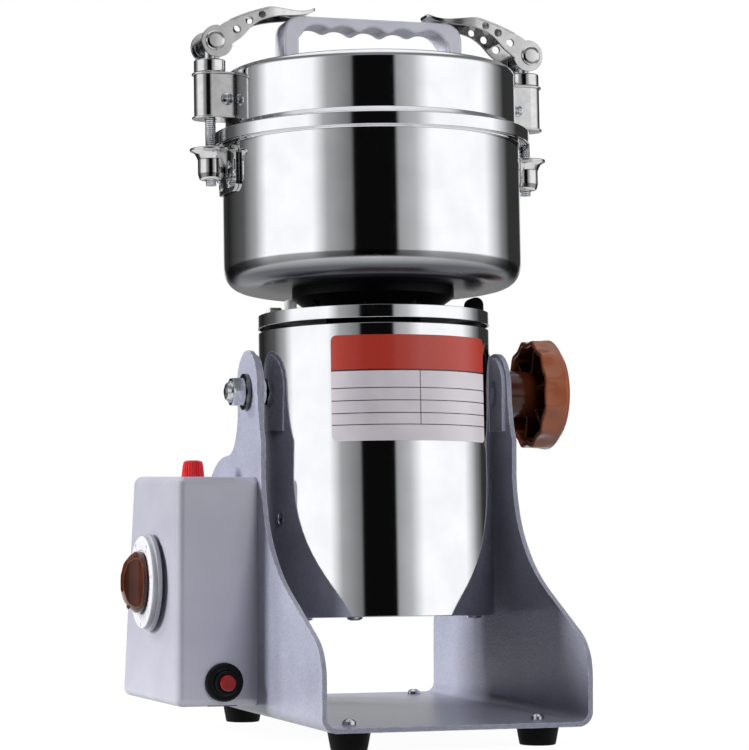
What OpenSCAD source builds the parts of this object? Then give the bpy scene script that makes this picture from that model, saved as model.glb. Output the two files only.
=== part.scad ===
// Swing-type herb grinder: a stainless bowl and motor that tilt in a folded stand.
// Millimetres, +Z up. The origin is under the middle of the object, on the ground.
// Sizes of the tilting half are measured from the pivot axis, along the motor's own axis.

/* [Stand] */
// Height of the pivot axis over the ground
pivot_h = 213; // [200:1:240]
// Thickness of the folded sheet
plate_t = 3; // [2:0.5:4]
// Gap between the motor housing and each upright
side_gap = 8; // [7:0.5:14]
// Reach of the base in front of the pivot
frame_front = 153; // [140:1:180]
// Reach of the base behind the pivot
frame_back = 114; // [104:1:140]
// Outer radius of the two folds
bend_r = 9; // [6:0.5:14]
// Radius of the rounded head of an upright
head_r = 22; // [20:0.5:26]
// Thickness of the pad pressed inwards round the pivot hole
pad_t = 2.5; // [1:0.5:3]
// Height at which the front edge starts to lean back
toe_h = 41; // [30:1:60]
// Height of the rear shoulder
shoulder_h = 173.5; // [165:0.5:180]

/* [Feet] */
// Diameter of a foot at its top
foot_top_d = 26; // [22:1:32]
// Diameter of a foot at the ground
foot_bottom_d = 22; // [18:1:26]
// Height of a foot
foot_h = 12; // [8:1:20]
// Distance between the feet across the stand
foot_span_x = 119; // [100:1:126]
// Distance of the front feet before the pivot
foot_front = 127; // [110:1:134]
// Distance of the rear feet behind the pivot
foot_back = 92; // [70:1:98]
// Thread diameter of a foot screw
foot_screw_d = 5; // [4:0.5:6]

/* [Control box] */
// Width of the box at its top, out from the upright
box_top_w = 49; // [44:1:60]
// Extra width that the rear bottom edge flares out
box_flare = 7; // [0:0.5:12]
// Reach of the box before the pivot
box_front = 24; // [18:1:40]
// Reach of the box behind the pivot
box_back = 93; // [84:1:104]
// Height of the box's bottom over the ground
box_bottom = 19; // [16:1:26]
// Height of the box's top over the ground
box_top = 160; // [150:1:170]
// Wall of the box
box_wall = 2.5; // [1.5:0.5:4]
// Radius of the box's outer edges
box_r = 5; // [3:0.5:7]

/* [Timer] */
// Height of the timer's axis over the ground
timer_h = 94; // [88:1:100]
// Distance of the timer's axis behind the pivot
timer_y = 28; // [22:1:40]
// Diameter of the dial ring
dial_d = 61; // [54:1:68]
// Thickness of the dial ring
dial_t = 6; // [4:0.5:9]
// Diameter of the timer knob
timer_knob_d = 38.5; // [32:0.5:42]
// Height of the timer knob's grip over the dial
timer_knob_h = 12; // [9:0.5:16]
// Diameter of the timer's shaft
timer_shaft_d = 6; // [5:0.5:8]

/* [Lamp and reset] */
// Diameter of the pilot lamp at its foot
lamp_d = 14.6; // [12:0.2:16]
// Height of the pilot lamp
lamp_h = 10.5; // [8:0.5:14]
// Diameter of the overload switch's collar
collar_d = 24; // [20:1:28]
// Height of the overload switch's axis over the ground
breaker_h = 34; // [32:1:38]
// Distance of the overload switch out from the upright
breaker_out = 21.5; // [18:0.5:26]
// Diameter of the reset button
reset_d = 10; // [8:0.5:11]
// Travel of the reset button
reset_travel = 3; // [1:0.5:4]

/* [Motor] */
// Diameter of the motor housing
housing_d = 147; // [140:1:160]
// Wall of the motor housing
housing_t = 1.2; // [0.8:0.1:2]
// Top of the housing above the pivot
housing_top = 38; // [32:1:44]
// Bottom of the housing below the pivot
housing_bottom = 141.5; // [136:0.5:150]
// Rest tilt of the motor towards the back
lean = 2.9; // [0:0.1:5]
// Outer diameter of the stator
stator_d = 94; // [80:1:100]
// Length of the stator
stator_l = 62; // [50:1:66]
// Diameter of the armature
armature_d = 51; // [44:0.5:54]
// Radial air gap between the armature and the stator
air_gap = 0.5; // [0.3:0.1:1]
// Diameter of the rotor shaft
shaft_d = 12; // [10:0.5:14]
// Outer diameter of the two bearings
bearing_d = 32; // [28:1:36]
// Diameter of the cooling fan
fan_d = 78; // [66:1:80]

/* [Motor top] */
// Gap between the housing and the band above it
band_gap = 3.2; // [2:0.2:5]
// Height of the steel band
band_h = 8; // [6:0.5:10]
// Height of the bowl's floor above the pivot
bowl_floor = 65; // [62:0.5:70]
// Diameter of the adapter's flange under the bowl
adapter_d = 103; // [90:1:110]

/* [Bowl] */
// Outer diameter of the bowl
bowl_d = 190; // [180:1:200]
// Height of the bowl's wall
bowl_h = 91; // [80:1:110]
// Wall of the bowl
bowl_t = 1.6; // [1.2:0.1:2.5]
// Outer radius between the bowl's wall and floor
bowl_corner = 18; // [12:1:24]
// Width that the rim stands out from the wall
rim_w = 4.5; // [4:0.5:5]
// Thickness of the bowl's rim
rim_t = 2; // [1.5:0.1:3]

/* [Lid] */
// Radial gap between the lid's skirt and the bowl's rim
skirt_gap = 0.8; // [0.5:0.1:1.5]
// Wall of the lid
lid_t = 1.2; // [1:0.1:1.8]
// Height of the lid's skirt
skirt_h = 8; // [7:0.5:10]
// Amount by which the lid's wall is smaller in radius than the skirt
lid_step = 8.5; // [7:0.5:12]
// Height of the lid's wall over the skirt
lid_wall_h = 39.5; // [32:0.5:42]
// Height of the dome over the wall
dome_h = 7; // [4:0.5:12]
// Thickness of the sealing ring
gasket_t = 2.5; // [1.5:0.5:4]
// Length of the handle
handle_l = 120; // [110:1:132]
// Height of the handle over the lid's wall
handle_h = 34.5; // [34:0.5:36]
// Width of the handle
handle_w = 21; // [14:1:21]

/* [Latches] */
// Distance of a latch rod from the bowl's wall
rod_out = 11; // [11:0.5:14]
// Diameter of a latch rod
rod_d = 7; // [5:0.5:8]
// Half width of the lug on the lid
lug_half = 10; // [8:0.5:12]
// Height of a lug
lug_h = 29; // [26:0.5:30]
// How far the tops of the lugs stay under the top of the lid's wall
lug_drop = 3.5; // [2:0.5:5]
// Diameter of the collar on a lug
latch_collar_d = 20; // [16:0.5:22]
// Height of the collar
latch_collar_h = 8.5; // [6:0.5:11]
// Radius of the lever's cam
cam_r = 10.2; // [8.5:0.1:11]
// Offset of the cam from its pin
cam_offset = 1.6; // [1:0.1:2]
// Thickness of a lever's side wall
lever_wall = 2.5; // [1.5:0.1:3]
// Width over a lever's two side walls
lever_w = 27; // [24:0.5:30]
// Diameter of a lever's pin
pin_d = 6; // [5:0.5:7]
// Outer diameter of a keeper's socket
socket_d = 16.5; // [14:0.5:18]
// Height of a keeper's socket
socket_h = 20; // [16:0.5:24]

/* [Clamp] */
// Thread diameter of the pivot bolts
bolt_d = 10; // [8:1:11]
// Diameter of the star knob
star_d = 71; // [60:1:76]
// Depth of the star knob's rim
star_h = 18; // [15:0.5:24]
// Number of scallops round the star knob
star_n = 12; // [8:1:14]
// Gap between the upright and the star knob's rim
star_gap = 19; // [16:0.5:22]
// Diameter of the clamp washer
clamp_washer_d = 32; // [26:1:36]

/* [Grinding] */
// Length of the blades from tip to tip
blade_l = 158; // [140:1:166]
// Width of a blade
blade_w = 22; // [18:1:28]
// Thickness of a blade
blade_t = 3; // [2:0.5:4]
// Length of the spacer between the blades
spacer_l = 14; // [10:1:20]

/* [Hidden] */
$fn = 72;
eps = 0.01;
fit = 0.05;
curve_steps = 10;

steel = [0.78, 0.78, 0.80];
dark_steel = [0.45, 0.46, 0.48];
paint = [0.56, 0.57, 0.66];
black = [0.08, 0.08, 0.09];
brown = [0.50, 0.25, 0.12];
red = [0.80, 0.12, 0.10];
copper = [0.72, 0.40, 0.20];
cast_grey = [0.68, 0.69, 0.74];

// Across the pivot, measured out from the middle
housing_r = housing_d / 2;
housing_in = housing_r - housing_t;
inner_half = housing_r + side_gap;
frame_half = inner_half + plate_t;
pad_face = inner_half - pad_t;
pad_r = head_r - 2.5;
bolt_r = bolt_d / 2;
nut_across = 1.7 * bolt_d;
bolt_head_x = sqrt(pow(housing_in, 2) - pow(nut_across / 2, 2)) - 0.2;
bolt_head_t = 0.6 * bolt_d;
lock_gap = 0.2;
washer_t = 2.5;
nut_t = 0.8 * bolt_d;

// Upright: height of its head and of the sweep to the front, and where its neck starts
head_z = pivot_h + 4;
neck_front = head_r + 9;
sweep_z = pivot_h - 123;
foot_screw_head_h = 0.7 * foot_screw_d;
foot_screw_head_r = 0.85 * foot_screw_d;

// Control box, out from the upright's outer face
box_front_w = box_top_w + 0.3 * box_flare;
dial_seat = frame_half + box_top_w + 0.8 * box_flare;
dial_face = dial_seat + dial_t;
knob_gap = 0.4;
knob_tip = dial_face + knob_gap + timer_knob_h;
box_inner_w = box_top_w - box_wall;
box_screw_inset = box_wall + 4;
box_screw_r = 2;
boss_r = 5;
boss_l = 12;
timer_x = frame_half + box_inner_w - 0.1;
timer_case = [22, 40, 44];
timer_mount_t = 6;
timer_mount_r = 16;
ridge_w = 10;
grip_scoop_r = 13.5;
grip_scoop_y = 16.5;
grip_dome_r = 26;
lamp_out = frame_half + 0.55 * box_top_w;
lamp_neck_r = lamp_d / 2 - 1.2;
lamp_body_l = 24;
breaker_x = frame_half + breaker_out;
sleeve_out = 8;
collar_t = 3;
gland_x = frame_half + 26;
gland_z = box_bottom + 26;
gland_r = 7.5;
gland_flats = 20;
cord_hole_r = 3.9;
terminal_n = 4;
terminal_pitch = 11;
terminal_size = [14, terminal_n * terminal_pitch, 16];
terminal_y = 22;

// Star knob
star_dome = 2.5;
star_inner = frame_half + star_gap;
star_outer = star_inner + star_h + star_dome;
star_wall = 7;
hub_r = 15;
insert_r = 8;
insert_l = 20;
scallop_r = 0.32 * star_d;
scallop_depth = 2.2;

// Where the pivot lies, so that the origin is under the middle of the object
pivot_x = (knob_tip - star_outer) / 2;
pivot_y = (frame_front - frame_back) / 2;

// Heights along the motor's axis
band_bottom = housing_top + band_gap;
cover_top = band_bottom + band_h;
bowl_r = bowl_d / 2;
bowl_inside = bowl_floor + bowl_t;
rim_bottom = bowl_floor + bowl_h;
rim_top = rim_bottom + rim_t;
rim_r = bowl_r + rim_w;
gasket_top = rim_top + gasket_t;
skirt_in = rim_r + skirt_gap;
skirt_r = skirt_in + lid_t;
skirt_bottom = rim_bottom + 0.2;
skirt_top = skirt_bottom + skirt_h;
lid_r = skirt_r - lid_step;
wall_bottom = skirt_top + 2.8;
wall_top = wall_bottom + lid_wall_h - 2.8;
dome_top = wall_top + dome_h;
handle_top = wall_top + handle_h;
rod_x = bowl_r + rod_out;
lug_top = wall_top - lug_drop;
lug_bottom = lug_top - lug_h;
collar_top = lug_top + latch_collar_h;
pin_z = collar_top + cam_r + 0.1;
keeper_top = lug_bottom - 18.5;
shaft_r = shaft_d / 2;
stator_r = stator_d / 2;
stator_z = -69;
stator_top = stator_z + stator_l / 2;
stator_bottom = stator_z - stator_l / 2;
bell_r = housing_in - 0.4;
bell_t = 5;
base_t = 2;
base_top = base_t - housing_bottom;
upper_bell_top = housing_top - 7;
bearing_r = bearing_d / 2;
bearing_h = 10;
coil_r = stator_r - 6;
blade_z = bowl_inside + 5.5;
upper_blade_z = blade_z + blade_t + spacer_l;
shaft_end = upper_blade_z + blade_t + 10;

// Motor: its screws, its brushes and what stands on its cover
base_screw_r = 64;
base_screw_turn = -2;
motor_screw_r = 2.5;
adapter_screw_r = 44;
adapter_screw_head_r = 3.4;
adapter_flange_t = 5;
small_screw_r = 2;
brush_z = stator_bottom - 17;
brush_r = 7;
commutator_r = 17;
commutator_l = 17;
neck_r = 30;
post_r = housing_in - 9.3;
fan_plate_t = 2;
fan_blade_h = 14;
fan_hub_r = 13;
spacer_r = 10;
shaft_fit = 0.02;

// Keepers: a screw is given as its angle round the bowl and its height under the keeper's top
keeper_plate_h = 30;
keeper_half = 19.5;
keeper_flange_t = 2.5;
keeper_screw_r = 1.5;
keeper_screw_places = [[9.8, 17], [4.8, 11], [4.8, 23], [-9.8, 17], [-4.8, 11], [-4.8, 23]];

// Label round the housing
label_h = 65;
label_top = housing_top - 7.5;
label_half_angle = 44;
label_turn = -86;

// Lid and its handle
lid_corner = 5;
dome_base_r = lid_r - lid_corner;
dome_radius = (pow(dome_base_r, 2) + pow(dome_h, 2)) / (2 * dome_h);
dome_edge = asin(dome_base_r / dome_radius);
handle_leg = 10;
handle_bar = 10;
handle_corner = 12;
handle_screw_r = 2.5;
handle_screw_l = 21;
wave_r = 12.5;
wave_pitch = 20;
wave_depth = 4.5;

// Latches: a lever's side is given inwards from its pin and up, with the tip turned up
lug_out = rod_x + 5;
lug_brim = 1.8;
lug_brim_t = 2.5;
lug_bolt_x = lid_r + 4.5;
lug_bolt_z = lug_bottom + 12;
lug_bolt_head_t = 2.2;
rod_r = rod_d / 2;
rod_fit = 0.3;
eye_r = 6;
eye_w = lever_w - 2 * lever_wall - 0.6;
pin_head_t = 1.8;
lever_top = [
    [3, 9.6], [10, 14.2], [20, 18.6], [30, 22], [37, 23.6], [46, 23], [56, 22.4], [63, 23.4], [68, 25.6]
];
lever_under = [
    [68.5, 23], [62, 20], [52, 18], [40, 16.6], [31, 16], [24, 11.5], [18, 4.5], [11, -1]
];
lever_holes = [[14, 7.4], [22.3, 14], [30.8, 18.6]];
lever_hole_r = 3.1;
web_from = 9;
web_t = 2;

module on_stand() {
    translate([pivot_x, pivot_y, 0]) children();
}

module at_pivot() {
    translate([pivot_x, pivot_y, pivot_h]) children();
}

module tilted() {
    at_pivot() rotate([-lean, 0, 0]) children();
}

// Both sides: side is -1 on the left and 1 on the right
module on_side(side) {
    if (side < 0) mirror([1, 0, 0]) children();
    else children();
}

module along_x(x0, length, r) {
    translate([x0, 0, 0]) rotate([0, 90, 0]) cylinder(h = length, r = r);
}

module along_y(y0, length, r) {
    translate([0, y0, 0]) rotate([-90, 0, 0]) cylinder(h = length, r = r);
}

module hex_prism(across, h) {
    cylinder(h = h, r = across / sqrt(3), $fn = 6);
}

module tube(r_out, r_in, h) {
    difference() {
        cylinder(h = h, r = r_out);
        translate([0, 0, -1]) cylinder(h = h + 2, r = r_in);
    }
}

module revolve(points) {
    rotate_extrude() polygon(points);
}

function arc(cx, cy, r, a0, a1) = [
    for (i = [0:curve_steps]) let (a = a0 + (a1 - a0) * i / curve_steps)
        [cx + r * cos(a), cy + r * sin(a)]
];

function curve(a, b, c) = [
    for (i = [0:curve_steps]) let (t = i / curve_steps)
        (1 - t) * (1 - t) * a + 2 * t * (1 - t) * b + t * t * c
];

// Side outline of an upright, as distance behind the pivot and height over the ground
upright_outline = concat(
    [[-frame_front, 0]],
    curve([-frame_front, toe_h], [-frame_front, toe_h + 17], [-frame_front + 17, toe_h + 26]),
    curve([-frame_front + 66, sweep_z], [-neck_front - 4, sweep_z + 25], [-neck_front, sweep_z + 70]),
    curve([-neck_front, pivot_h - 30], [-head_r - 2, pivot_h - 18], [-head_r, head_z]),
    arc(0, head_z, head_r, 170, 10),
    curve([head_r - 2, pivot_h - 14], [head_r + 1, shoulder_h + 2], [head_r + 19, shoulder_h]),
    curve([head_r + 21, shoulder_h], [frame_back - 21, shoulder_h - 2], [frame_back - 6, sweep_z + 20]),
    [[frame_back, 60], [frame_back, 0]]
);

module folded_section(half, r, h) {
    translate([-half, foot_h + r]) square([2 * half, h]);
    translate([r - half, foot_h]) square([2 * (half - r), r + eps]);
    for (s = [-1, 1]) translate([s * (half - r), foot_h + r]) circle(r = r);
}

module foot_places() {
    for (x = [-foot_span_x / 2, foot_span_x / 2], y = [-foot_front, foot_back])
        translate([x, y, 0]) children();
}

// Where the box is screwed to the left upright, as [y, z]
box_screw_places = [
    for (y = [box_screw_inset - box_front, box_back - box_screw_inset],
         z = [box_bottom + 50, box_top - 26]) [y, z]
];

// Pads pressed inwards round the two pivot holes
module pivot_pads() {
    for (side = [-1, 1]) on_side(side) translate([pad_face, 0, 0]) rotate([90, 0, 90])
        linear_extrude(pad_t + eps) {
            translate([0, head_z]) circle(r = pad_r);
            translate([-pad_r, pivot_h - 24]) square([2 * pad_r, head_z - pivot_h + 24]);
        }
}

module base_frame() color(paint) on_stand() difference() {
    union() {
        intersection() {
            rotate([90, 0, 0]) translate([0, 0, -frame_back])
                linear_extrude(frame_front + frame_back) difference() {
                    folded_section(frame_half, bend_r, pivot_h + head_r);
                    translate([0, plate_t])
                        folded_section(inner_half, bend_r - plate_t, pivot_h + head_r);
                }
            rotate([90, 0, 90]) translate([0, 0, -frame_half]) linear_extrude(2 * frame_half)
                polygon(upright_outline);
        }
        pivot_pads();
    }
    translate([0, 0, pivot_h]) along_x(-frame_half - 1, 2 * frame_half + 2, bolt_r + 0.08);
    foot_places() translate([0, 0, foot_h - 1]) cylinder(h = plate_t + 2, r = foot_screw_d / 2 + fit);
    for (p = box_screw_places) translate([0, p[0], p[1]])
        along_x(-frame_half - 1, plate_t + 2, box_screw_r + fit);
}

module rubber_feet() color(black) on_stand() foot_places() difference() {
    cylinder(h = foot_h, d1 = foot_bottom_d, d2 = foot_top_d);
    translate([0, 0, 3]) cylinder(h = foot_h, r = foot_screw_d / 2 + fit);
}

module foot_screws() color(steel) on_stand() foot_places() {
    translate([0, 0, 4]) cylinder(h = foot_h + plate_t - 4 + eps, r = foot_screw_d / 2);
    translate([0, 0, foot_h + plate_t]) cylinder(h = foot_screw_head_h, r = foot_screw_head_r);
}

// Outer form of the box: its outer side is twisted, widest at the rear bottom edge
module box_corner(x, y, z) {
    translate([-frame_half - x + box_r, y, z]) sphere(r = box_r, $fn = 20);
}

module box_form() hull() {
    for (z = [box_bottom + box_r, box_top - box_r]) {
        box_corner(box_front_w, -box_front + box_r, z);
        box_corner(box_top_w + (z < box_top / 2 ? box_flare : 0), box_back - box_r, z);
        translate([-frame_half - 0.1, -box_front + box_r, z]) rotate([0, 90, 0])
            cylinder(h = 0.1, r = box_r, $fn = 20);
        translate([-frame_half - 0.1, box_back - box_r, z]) rotate([0, 90, 0])
            cylinder(h = 0.1, r = box_r, $fn = 20);
    }
}

module control_box() color(paint) on_stand() difference() {
    union() {
        difference() {
            box_form();
            translate([-frame_half - box_inner_w, -box_front + box_wall, box_bottom + box_wall])
                cube([box_inner_w + 1, box_front + box_back - 2 * box_wall,
                    box_top - box_bottom - 2 * box_wall]);
        }
        translate([0, timer_y, timer_h]) along_x(-dial_seat, 8, dial_d / 2 + 0.8);
        for (p = box_screw_places) translate([0, p[0], p[1]]) along_x(-frame_half - boss_l, boss_l, boss_r);
    }
    translate([0, timer_y, timer_h]) along_x(-dial_seat - 1, 20, timer_shaft_d / 2 + 0.5);
    for (p = box_screw_places) translate([0, p[0], p[1]])
        along_x(-frame_half - 10, 11, box_screw_r + fit);
    translate([-lamp_out, timer_y, box_top - 5]) cylinder(h = 6, r = lamp_neck_r + fit);
    translate([-breaker_x, 0, breaker_h]) along_y(-box_front - 1, 10, collar_d / 2 - 3.5);
    translate([-gland_x, 0, gland_z]) along_y(box_back - 8, 10, gland_r + fit);
}

module box_screws() color(steel) on_stand() for (p = box_screw_places)
    translate([0, p[0], p[1]]) {
        along_x(-frame_half - 9, 9 + plate_t + eps, box_screw_r);
        along_x(-inner_half, 1.8, 2 * box_screw_r);
    }

module dial_plate() color([0.90, 0.90, 0.91]) on_stand() translate([0, timer_y, timer_h])
    difference() {
        union() {
            along_x(-dial_seat - 0.45 * dial_t, 0.45 * dial_t, dial_d / 2);
            along_x(-dial_face, dial_t, dial_d / 2 - 1.5);
        }
        along_x(-dial_face - 1, dial_t + 2, timer_shaft_d / 2 + 0.5);
    }

module timer_body() color(dark_steel) on_stand() translate([0, timer_y, timer_h]) difference() {
    union() {
        along_x(-timer_x, timer_mount_t, timer_mount_r);
        translate([timer_mount_t - timer_x, -timer_case[1] / 2, -timer_case[2] / 2])
            cube(timer_case);
    }
    along_x(-timer_x - 1, 16, timer_shaft_d / 2 + fit);
}

module timer_shaft() color(steel) on_stand() translate([0, timer_y, timer_h])
    along_x(-knob_tip + 5, knob_tip - 5 - timer_x + 14, timer_shaft_d / 2);

module timer_knob() color(brown) on_stand() translate([0, timer_y, timer_h]) difference() {
    intersection() {
        union() {
            along_x(-dial_face - knob_gap - 4, 4, timer_knob_d / 2);
            translate([-knob_tip, -ridge_w / 2, -timer_knob_d / 2])
                cube([timer_knob_h, ridge_w, timer_knob_d]);
        }
        along_x(-knob_tip - 1, timer_knob_h + 2, timer_knob_d / 2);
        translate([-dial_face + grip_dome_r, 0, 0]) sphere(r = timer_knob_h + grip_dome_r + knob_gap);
    }
    along_x(-knob_tip + 5 - fit, timer_knob_h + 2, timer_shaft_d / 2 + 0.02);
    for (s = [-1, 1]) translate([-dial_face - knob_gap - grip_scoop_r - 5, s * grip_scoop_y, 0])
        cylinder(h = timer_knob_d, r = grip_scoop_r, center = true);
}

module lamp_holder() color(black) on_stand() translate([-lamp_out, timer_y, box_top]) {
    translate([0, 0, -lamp_body_l]) cylinder(h = lamp_body_l, r = lamp_neck_r);
    translate([0, 0, -box_wall - 4]) cylinder(h = 4, r = lamp_d / 2 + 2);
}

module lamp_lens() color(red) on_stand() translate([-lamp_out, timer_y, box_top])
    revolve([
        [0, 0], [lamp_d / 2, 0], [lamp_d / 2, 1.5], [lamp_d / 2 - 0.6, 2],
        [lamp_d / 2 - 1, lamp_h - 1.2], [lamp_d / 2 - 2, lamp_h], [0, lamp_h]
    ]);

module breaker_body() color(black) on_stand() translate([-breaker_x, -box_front, breaker_h])
    difference() {
        union() {
            along_y(-collar_t - 0.1, collar_t, collar_d / 2);
            along_y(-sleeve_out, sleeve_out + box_wall, reset_d / 2 + 2.5);
            along_y(0, box_wall + 1, collar_d / 2 - 4);
            translate([-10, box_wall + 0.2, -11]) cube([20, 30, 22]);
        }
        along_y(-sleeve_out - 1, sleeve_out + 9, reset_d / 2 + 0.08);
    }

module reset_button() color(red) on_stand() translate([-breaker_x, -box_front, breaker_h])
    along_y(-sleeve_out - reset_travel, sleeve_out + 7, reset_d / 2);

module terminal_block() color([0.85, 0.84, 0.78]) on_stand() difference() {
    translate([-frame_half - terminal_size[0], terminal_y, box_bottom + 12]) cube(terminal_size);
    for (i = [0:terminal_n - 1])
        translate([-frame_half - terminal_size[0], terminal_y + (i + 0.5) * terminal_pitch, 0])
            translate([0, 0, box_bottom + 20]) along_x(-1, 8, 2.5);
}

module cord_gland() color(black) on_stand() translate([-gland_x, box_back, gland_z]) difference() {
    union() {
        along_y(-9, 9, gland_r);
        rotate([-90, 0, 0]) hex_prism(gland_flats, 5);
        along_y(5, 5, 8.5);
        rotate([-90, 0, 0]) translate([0, 0, 10]) cylinder(h = 3, r1 = 8.5, r2 = 6.5);
        rotate([-90, 0, 0]) translate([0, 0, -box_wall - 5]) hex_prism(gland_flats - 1, 5);
    }
    along_y(-10, 25, cord_hole_r);
}

module motor_housing() color(steel) tilted() difference() {
    translate([0, 0, -housing_bottom]) tube(housing_r, housing_in, housing_bottom + housing_top);
    along_x(-housing_r - 1, 2 * housing_r + 2, bolt_r + fit);
}

module base_screw_places() {
    for (i = [0:2]) rotate([0, 0, base_screw_turn + 120 * i]) translate([base_screw_r, 0, 0]) children();
}

module motor_base() color(dark_steel) tilted() translate([0, 0, -housing_bottom]) difference() {
    cylinder(h = base_t, r = housing_in - fit);
    base_screw_places() translate([0, 0, -1]) cylinder(h = base_t + 2, r = motor_screw_r + fit);
    for (ring = [18, 30, 42], i = [0:11]) rotate([0, 0, 30 * i + ring]) translate([ring, 0, -1])
        cylinder(h = base_t + 2, r = 2.4, $fn = 24);
}

module adapter_screw_places() {
    for (i = [0:3]) rotate([0, 0, 20 + 90 * i]) translate([adapter_screw_r, 0, 0]) children();
}

module housing_screws() color(steel) tilted() {
    base_screw_places() translate([0, 0, -housing_bottom]) {
        cylinder(h = base_t + 8, r = motor_screw_r);
        translate([0, 0, -2.2]) cylinder(h = 2.2, r1 = 4, r2 = 5.5);
    }
    adapter_screw_places() translate([0, 0, bowl_floor - adapter_flange_t]) {
        cylinder(h = adapter_flange_t - 0.1, r = small_screw_r);
        translate([0, 0, -2]) cylinder(h = 2, r = adapter_screw_head_r);
    }
}

module lower_bell() color(cast_grey) tilted() difference() {
    union() {
        translate([0, 0, base_top]) cylinder(h = bell_t, r = bell_r);
        translate([0, 0, base_top]) cylinder(h = 14, r = bearing_r + 5);
        base_screw_places() translate([0, 0, base_top]) cylinder(h = 12, r = 5);
        translate([0, 0, base_top]) tube(stator_r, coil_r + 1, stator_bottom - base_top);
    }
    translate([0, 0, base_top + 3.5]) cylinder(h = 20, r = bearing_r + 0.02);
    base_screw_places() translate([0, 0, base_top - 1]) cylinder(h = 10, r = motor_screw_r + fit);
    translate([0, 0, brush_z]) along_y(-stator_r - 1, 2 * stator_r + 2, brush_r + fit);
}

module upper_bell() color(cast_grey) tilted() difference() {
    union() {
        translate([0, 0, upper_bell_top - bell_t]) cylinder(h = bell_t, r = bell_r);
        translate([0, 0, upper_bell_top - 13]) cylinder(h = 13, r = bearing_r + 5);
        translate([0, 0, stator_top]) tube(stator_r, coil_r + 1, upper_bell_top - stator_top);
    }
    translate([0, 0, upper_bell_top - bearing_h - 1]) cylinder(h = 20, r = bearing_r + 0.02);
    translate([0, 0, upper_bell_top - 20]) cylinder(h = 20, r = shaft_r + 3);
    for (i = [0:2]) rotate([0, 0, 60 * i]) translate([0, 0, -6])
        along_x(-stator_r - 1, 2 * stator_r + 2, 11);
}

module stator_core() color(dark_steel) tilted() translate([0, 0, stator_bottom])
    tube(stator_r, armature_d / 2 + air_gap, stator_l);

module field_coils() color(copper) tilted() for (z = [stator_top, stator_bottom - 8], side = [0, 180])
    rotate([0, 0, side]) translate([0, 0, z]) difference() {
        tube(coil_r, armature_d / 2 + 3.5, 8);
        translate([-stator_r, -stator_r, -1]) cube([2 * stator_r, stator_r + 6, 10]);
    }

module brush_gear() color([0.20, 0.18, 0.16]) tilted() for (side = [0, 180]) rotate([0, 0, side])
    translate([0, 0, brush_z]) {
        translate([-4, commutator_r + 0.3, -4.5]) cube([8, 14, 9]);
        along_y(commutator_r + 10, stator_r - commutator_r - 8, brush_r);
    }

module bearings() color(steel) tilted() for (z = [base_top + 3.5, upper_bell_top - bearing_h - 1])
    translate([0, 0, z]) tube(bearing_r, shaft_r + fit, bearing_h);

module top_band() color(steel) tilted() translate([0, 0, band_bottom])
    tube(housing_r, housing_in, band_h);

module top_cover() color([0.35, 0.36, 0.38]) tilted() translate([0, 0, cover_top - 1.5])
    tube(housing_in - fit, neck_r + 0.1, 1.5);

module cover_posts() color([0.88, 0.88, 0.86]) tilted() {
    rotate([0, 0, -164]) translate([post_r, 0, cover_top]) cylinder(h = 7, r = 4);
    rotate([0, 0, 177]) translate([post_r - 2, -5, cover_top]) cube([8, 10, 4]);
}

module stop_block() color(black) tilted() rotate([0, 0, -5]) {
    translate([housing_r - 12, -6, cover_top]) cube([10, 12, 7]);
    translate([housing_r - 7, 0, cover_top + 7]) rotate([90, 0, 0])
        cylinder(h = 12, r = 5, center = true);
}

module bowl_adapter() color(black) tilted() difference() {
    revolve([
        [shaft_r + 2, upper_bell_top], [neck_r, upper_bell_top], [neck_r, cover_top],
        [neck_r + 6, cover_top], [adapter_d / 2, bowl_floor - adapter_flange_t],
        [adapter_d / 2, bowl_floor], [bearing_r + fit, bowl_floor],
        [bearing_r + fit, bowl_floor - 5], [shaft_r + 2, bowl_floor - 5]
    ]);
    adapter_screw_places() translate([0, 0, bowl_floor - adapter_flange_t - 12]) {
        cylinder(h = 12, r = adapter_screw_head_r + fit);
        cylinder(h = 20, r = small_screw_r + fit);
    }
}

module bowl() color(steel) tilted() revolve(concat(
    [[bearing_r + fit, bowl_floor]],
    arc(bowl_r - bowl_corner, bowl_floor + bowl_corner, bowl_corner, -90, 0),
    [[bowl_r, rim_bottom], [rim_r, rim_bottom], [rim_r, rim_top], [bowl_r - bowl_t, rim_top]],
    arc(bowl_r - bowl_corner, bowl_floor + bowl_corner, bowl_corner - bowl_t, 0, -90),
    [[bearing_r + fit, bowl_inside]]
));

module shaft_seal() color([0.75, 0.72, 0.62]) tilted() difference() {
    union() {
        translate([0, 0, bowl_floor - 5]) cylinder(h = bowl_t + 5 + eps, r = bearing_r);
        translate([0, 0, bowl_inside]) cylinder(h = 3, r = bearing_r + 4);
    }
    translate([0, 0, bowl_floor - 6]) cylinder(h = 20, r = shaft_r + 0.1);
}

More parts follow.
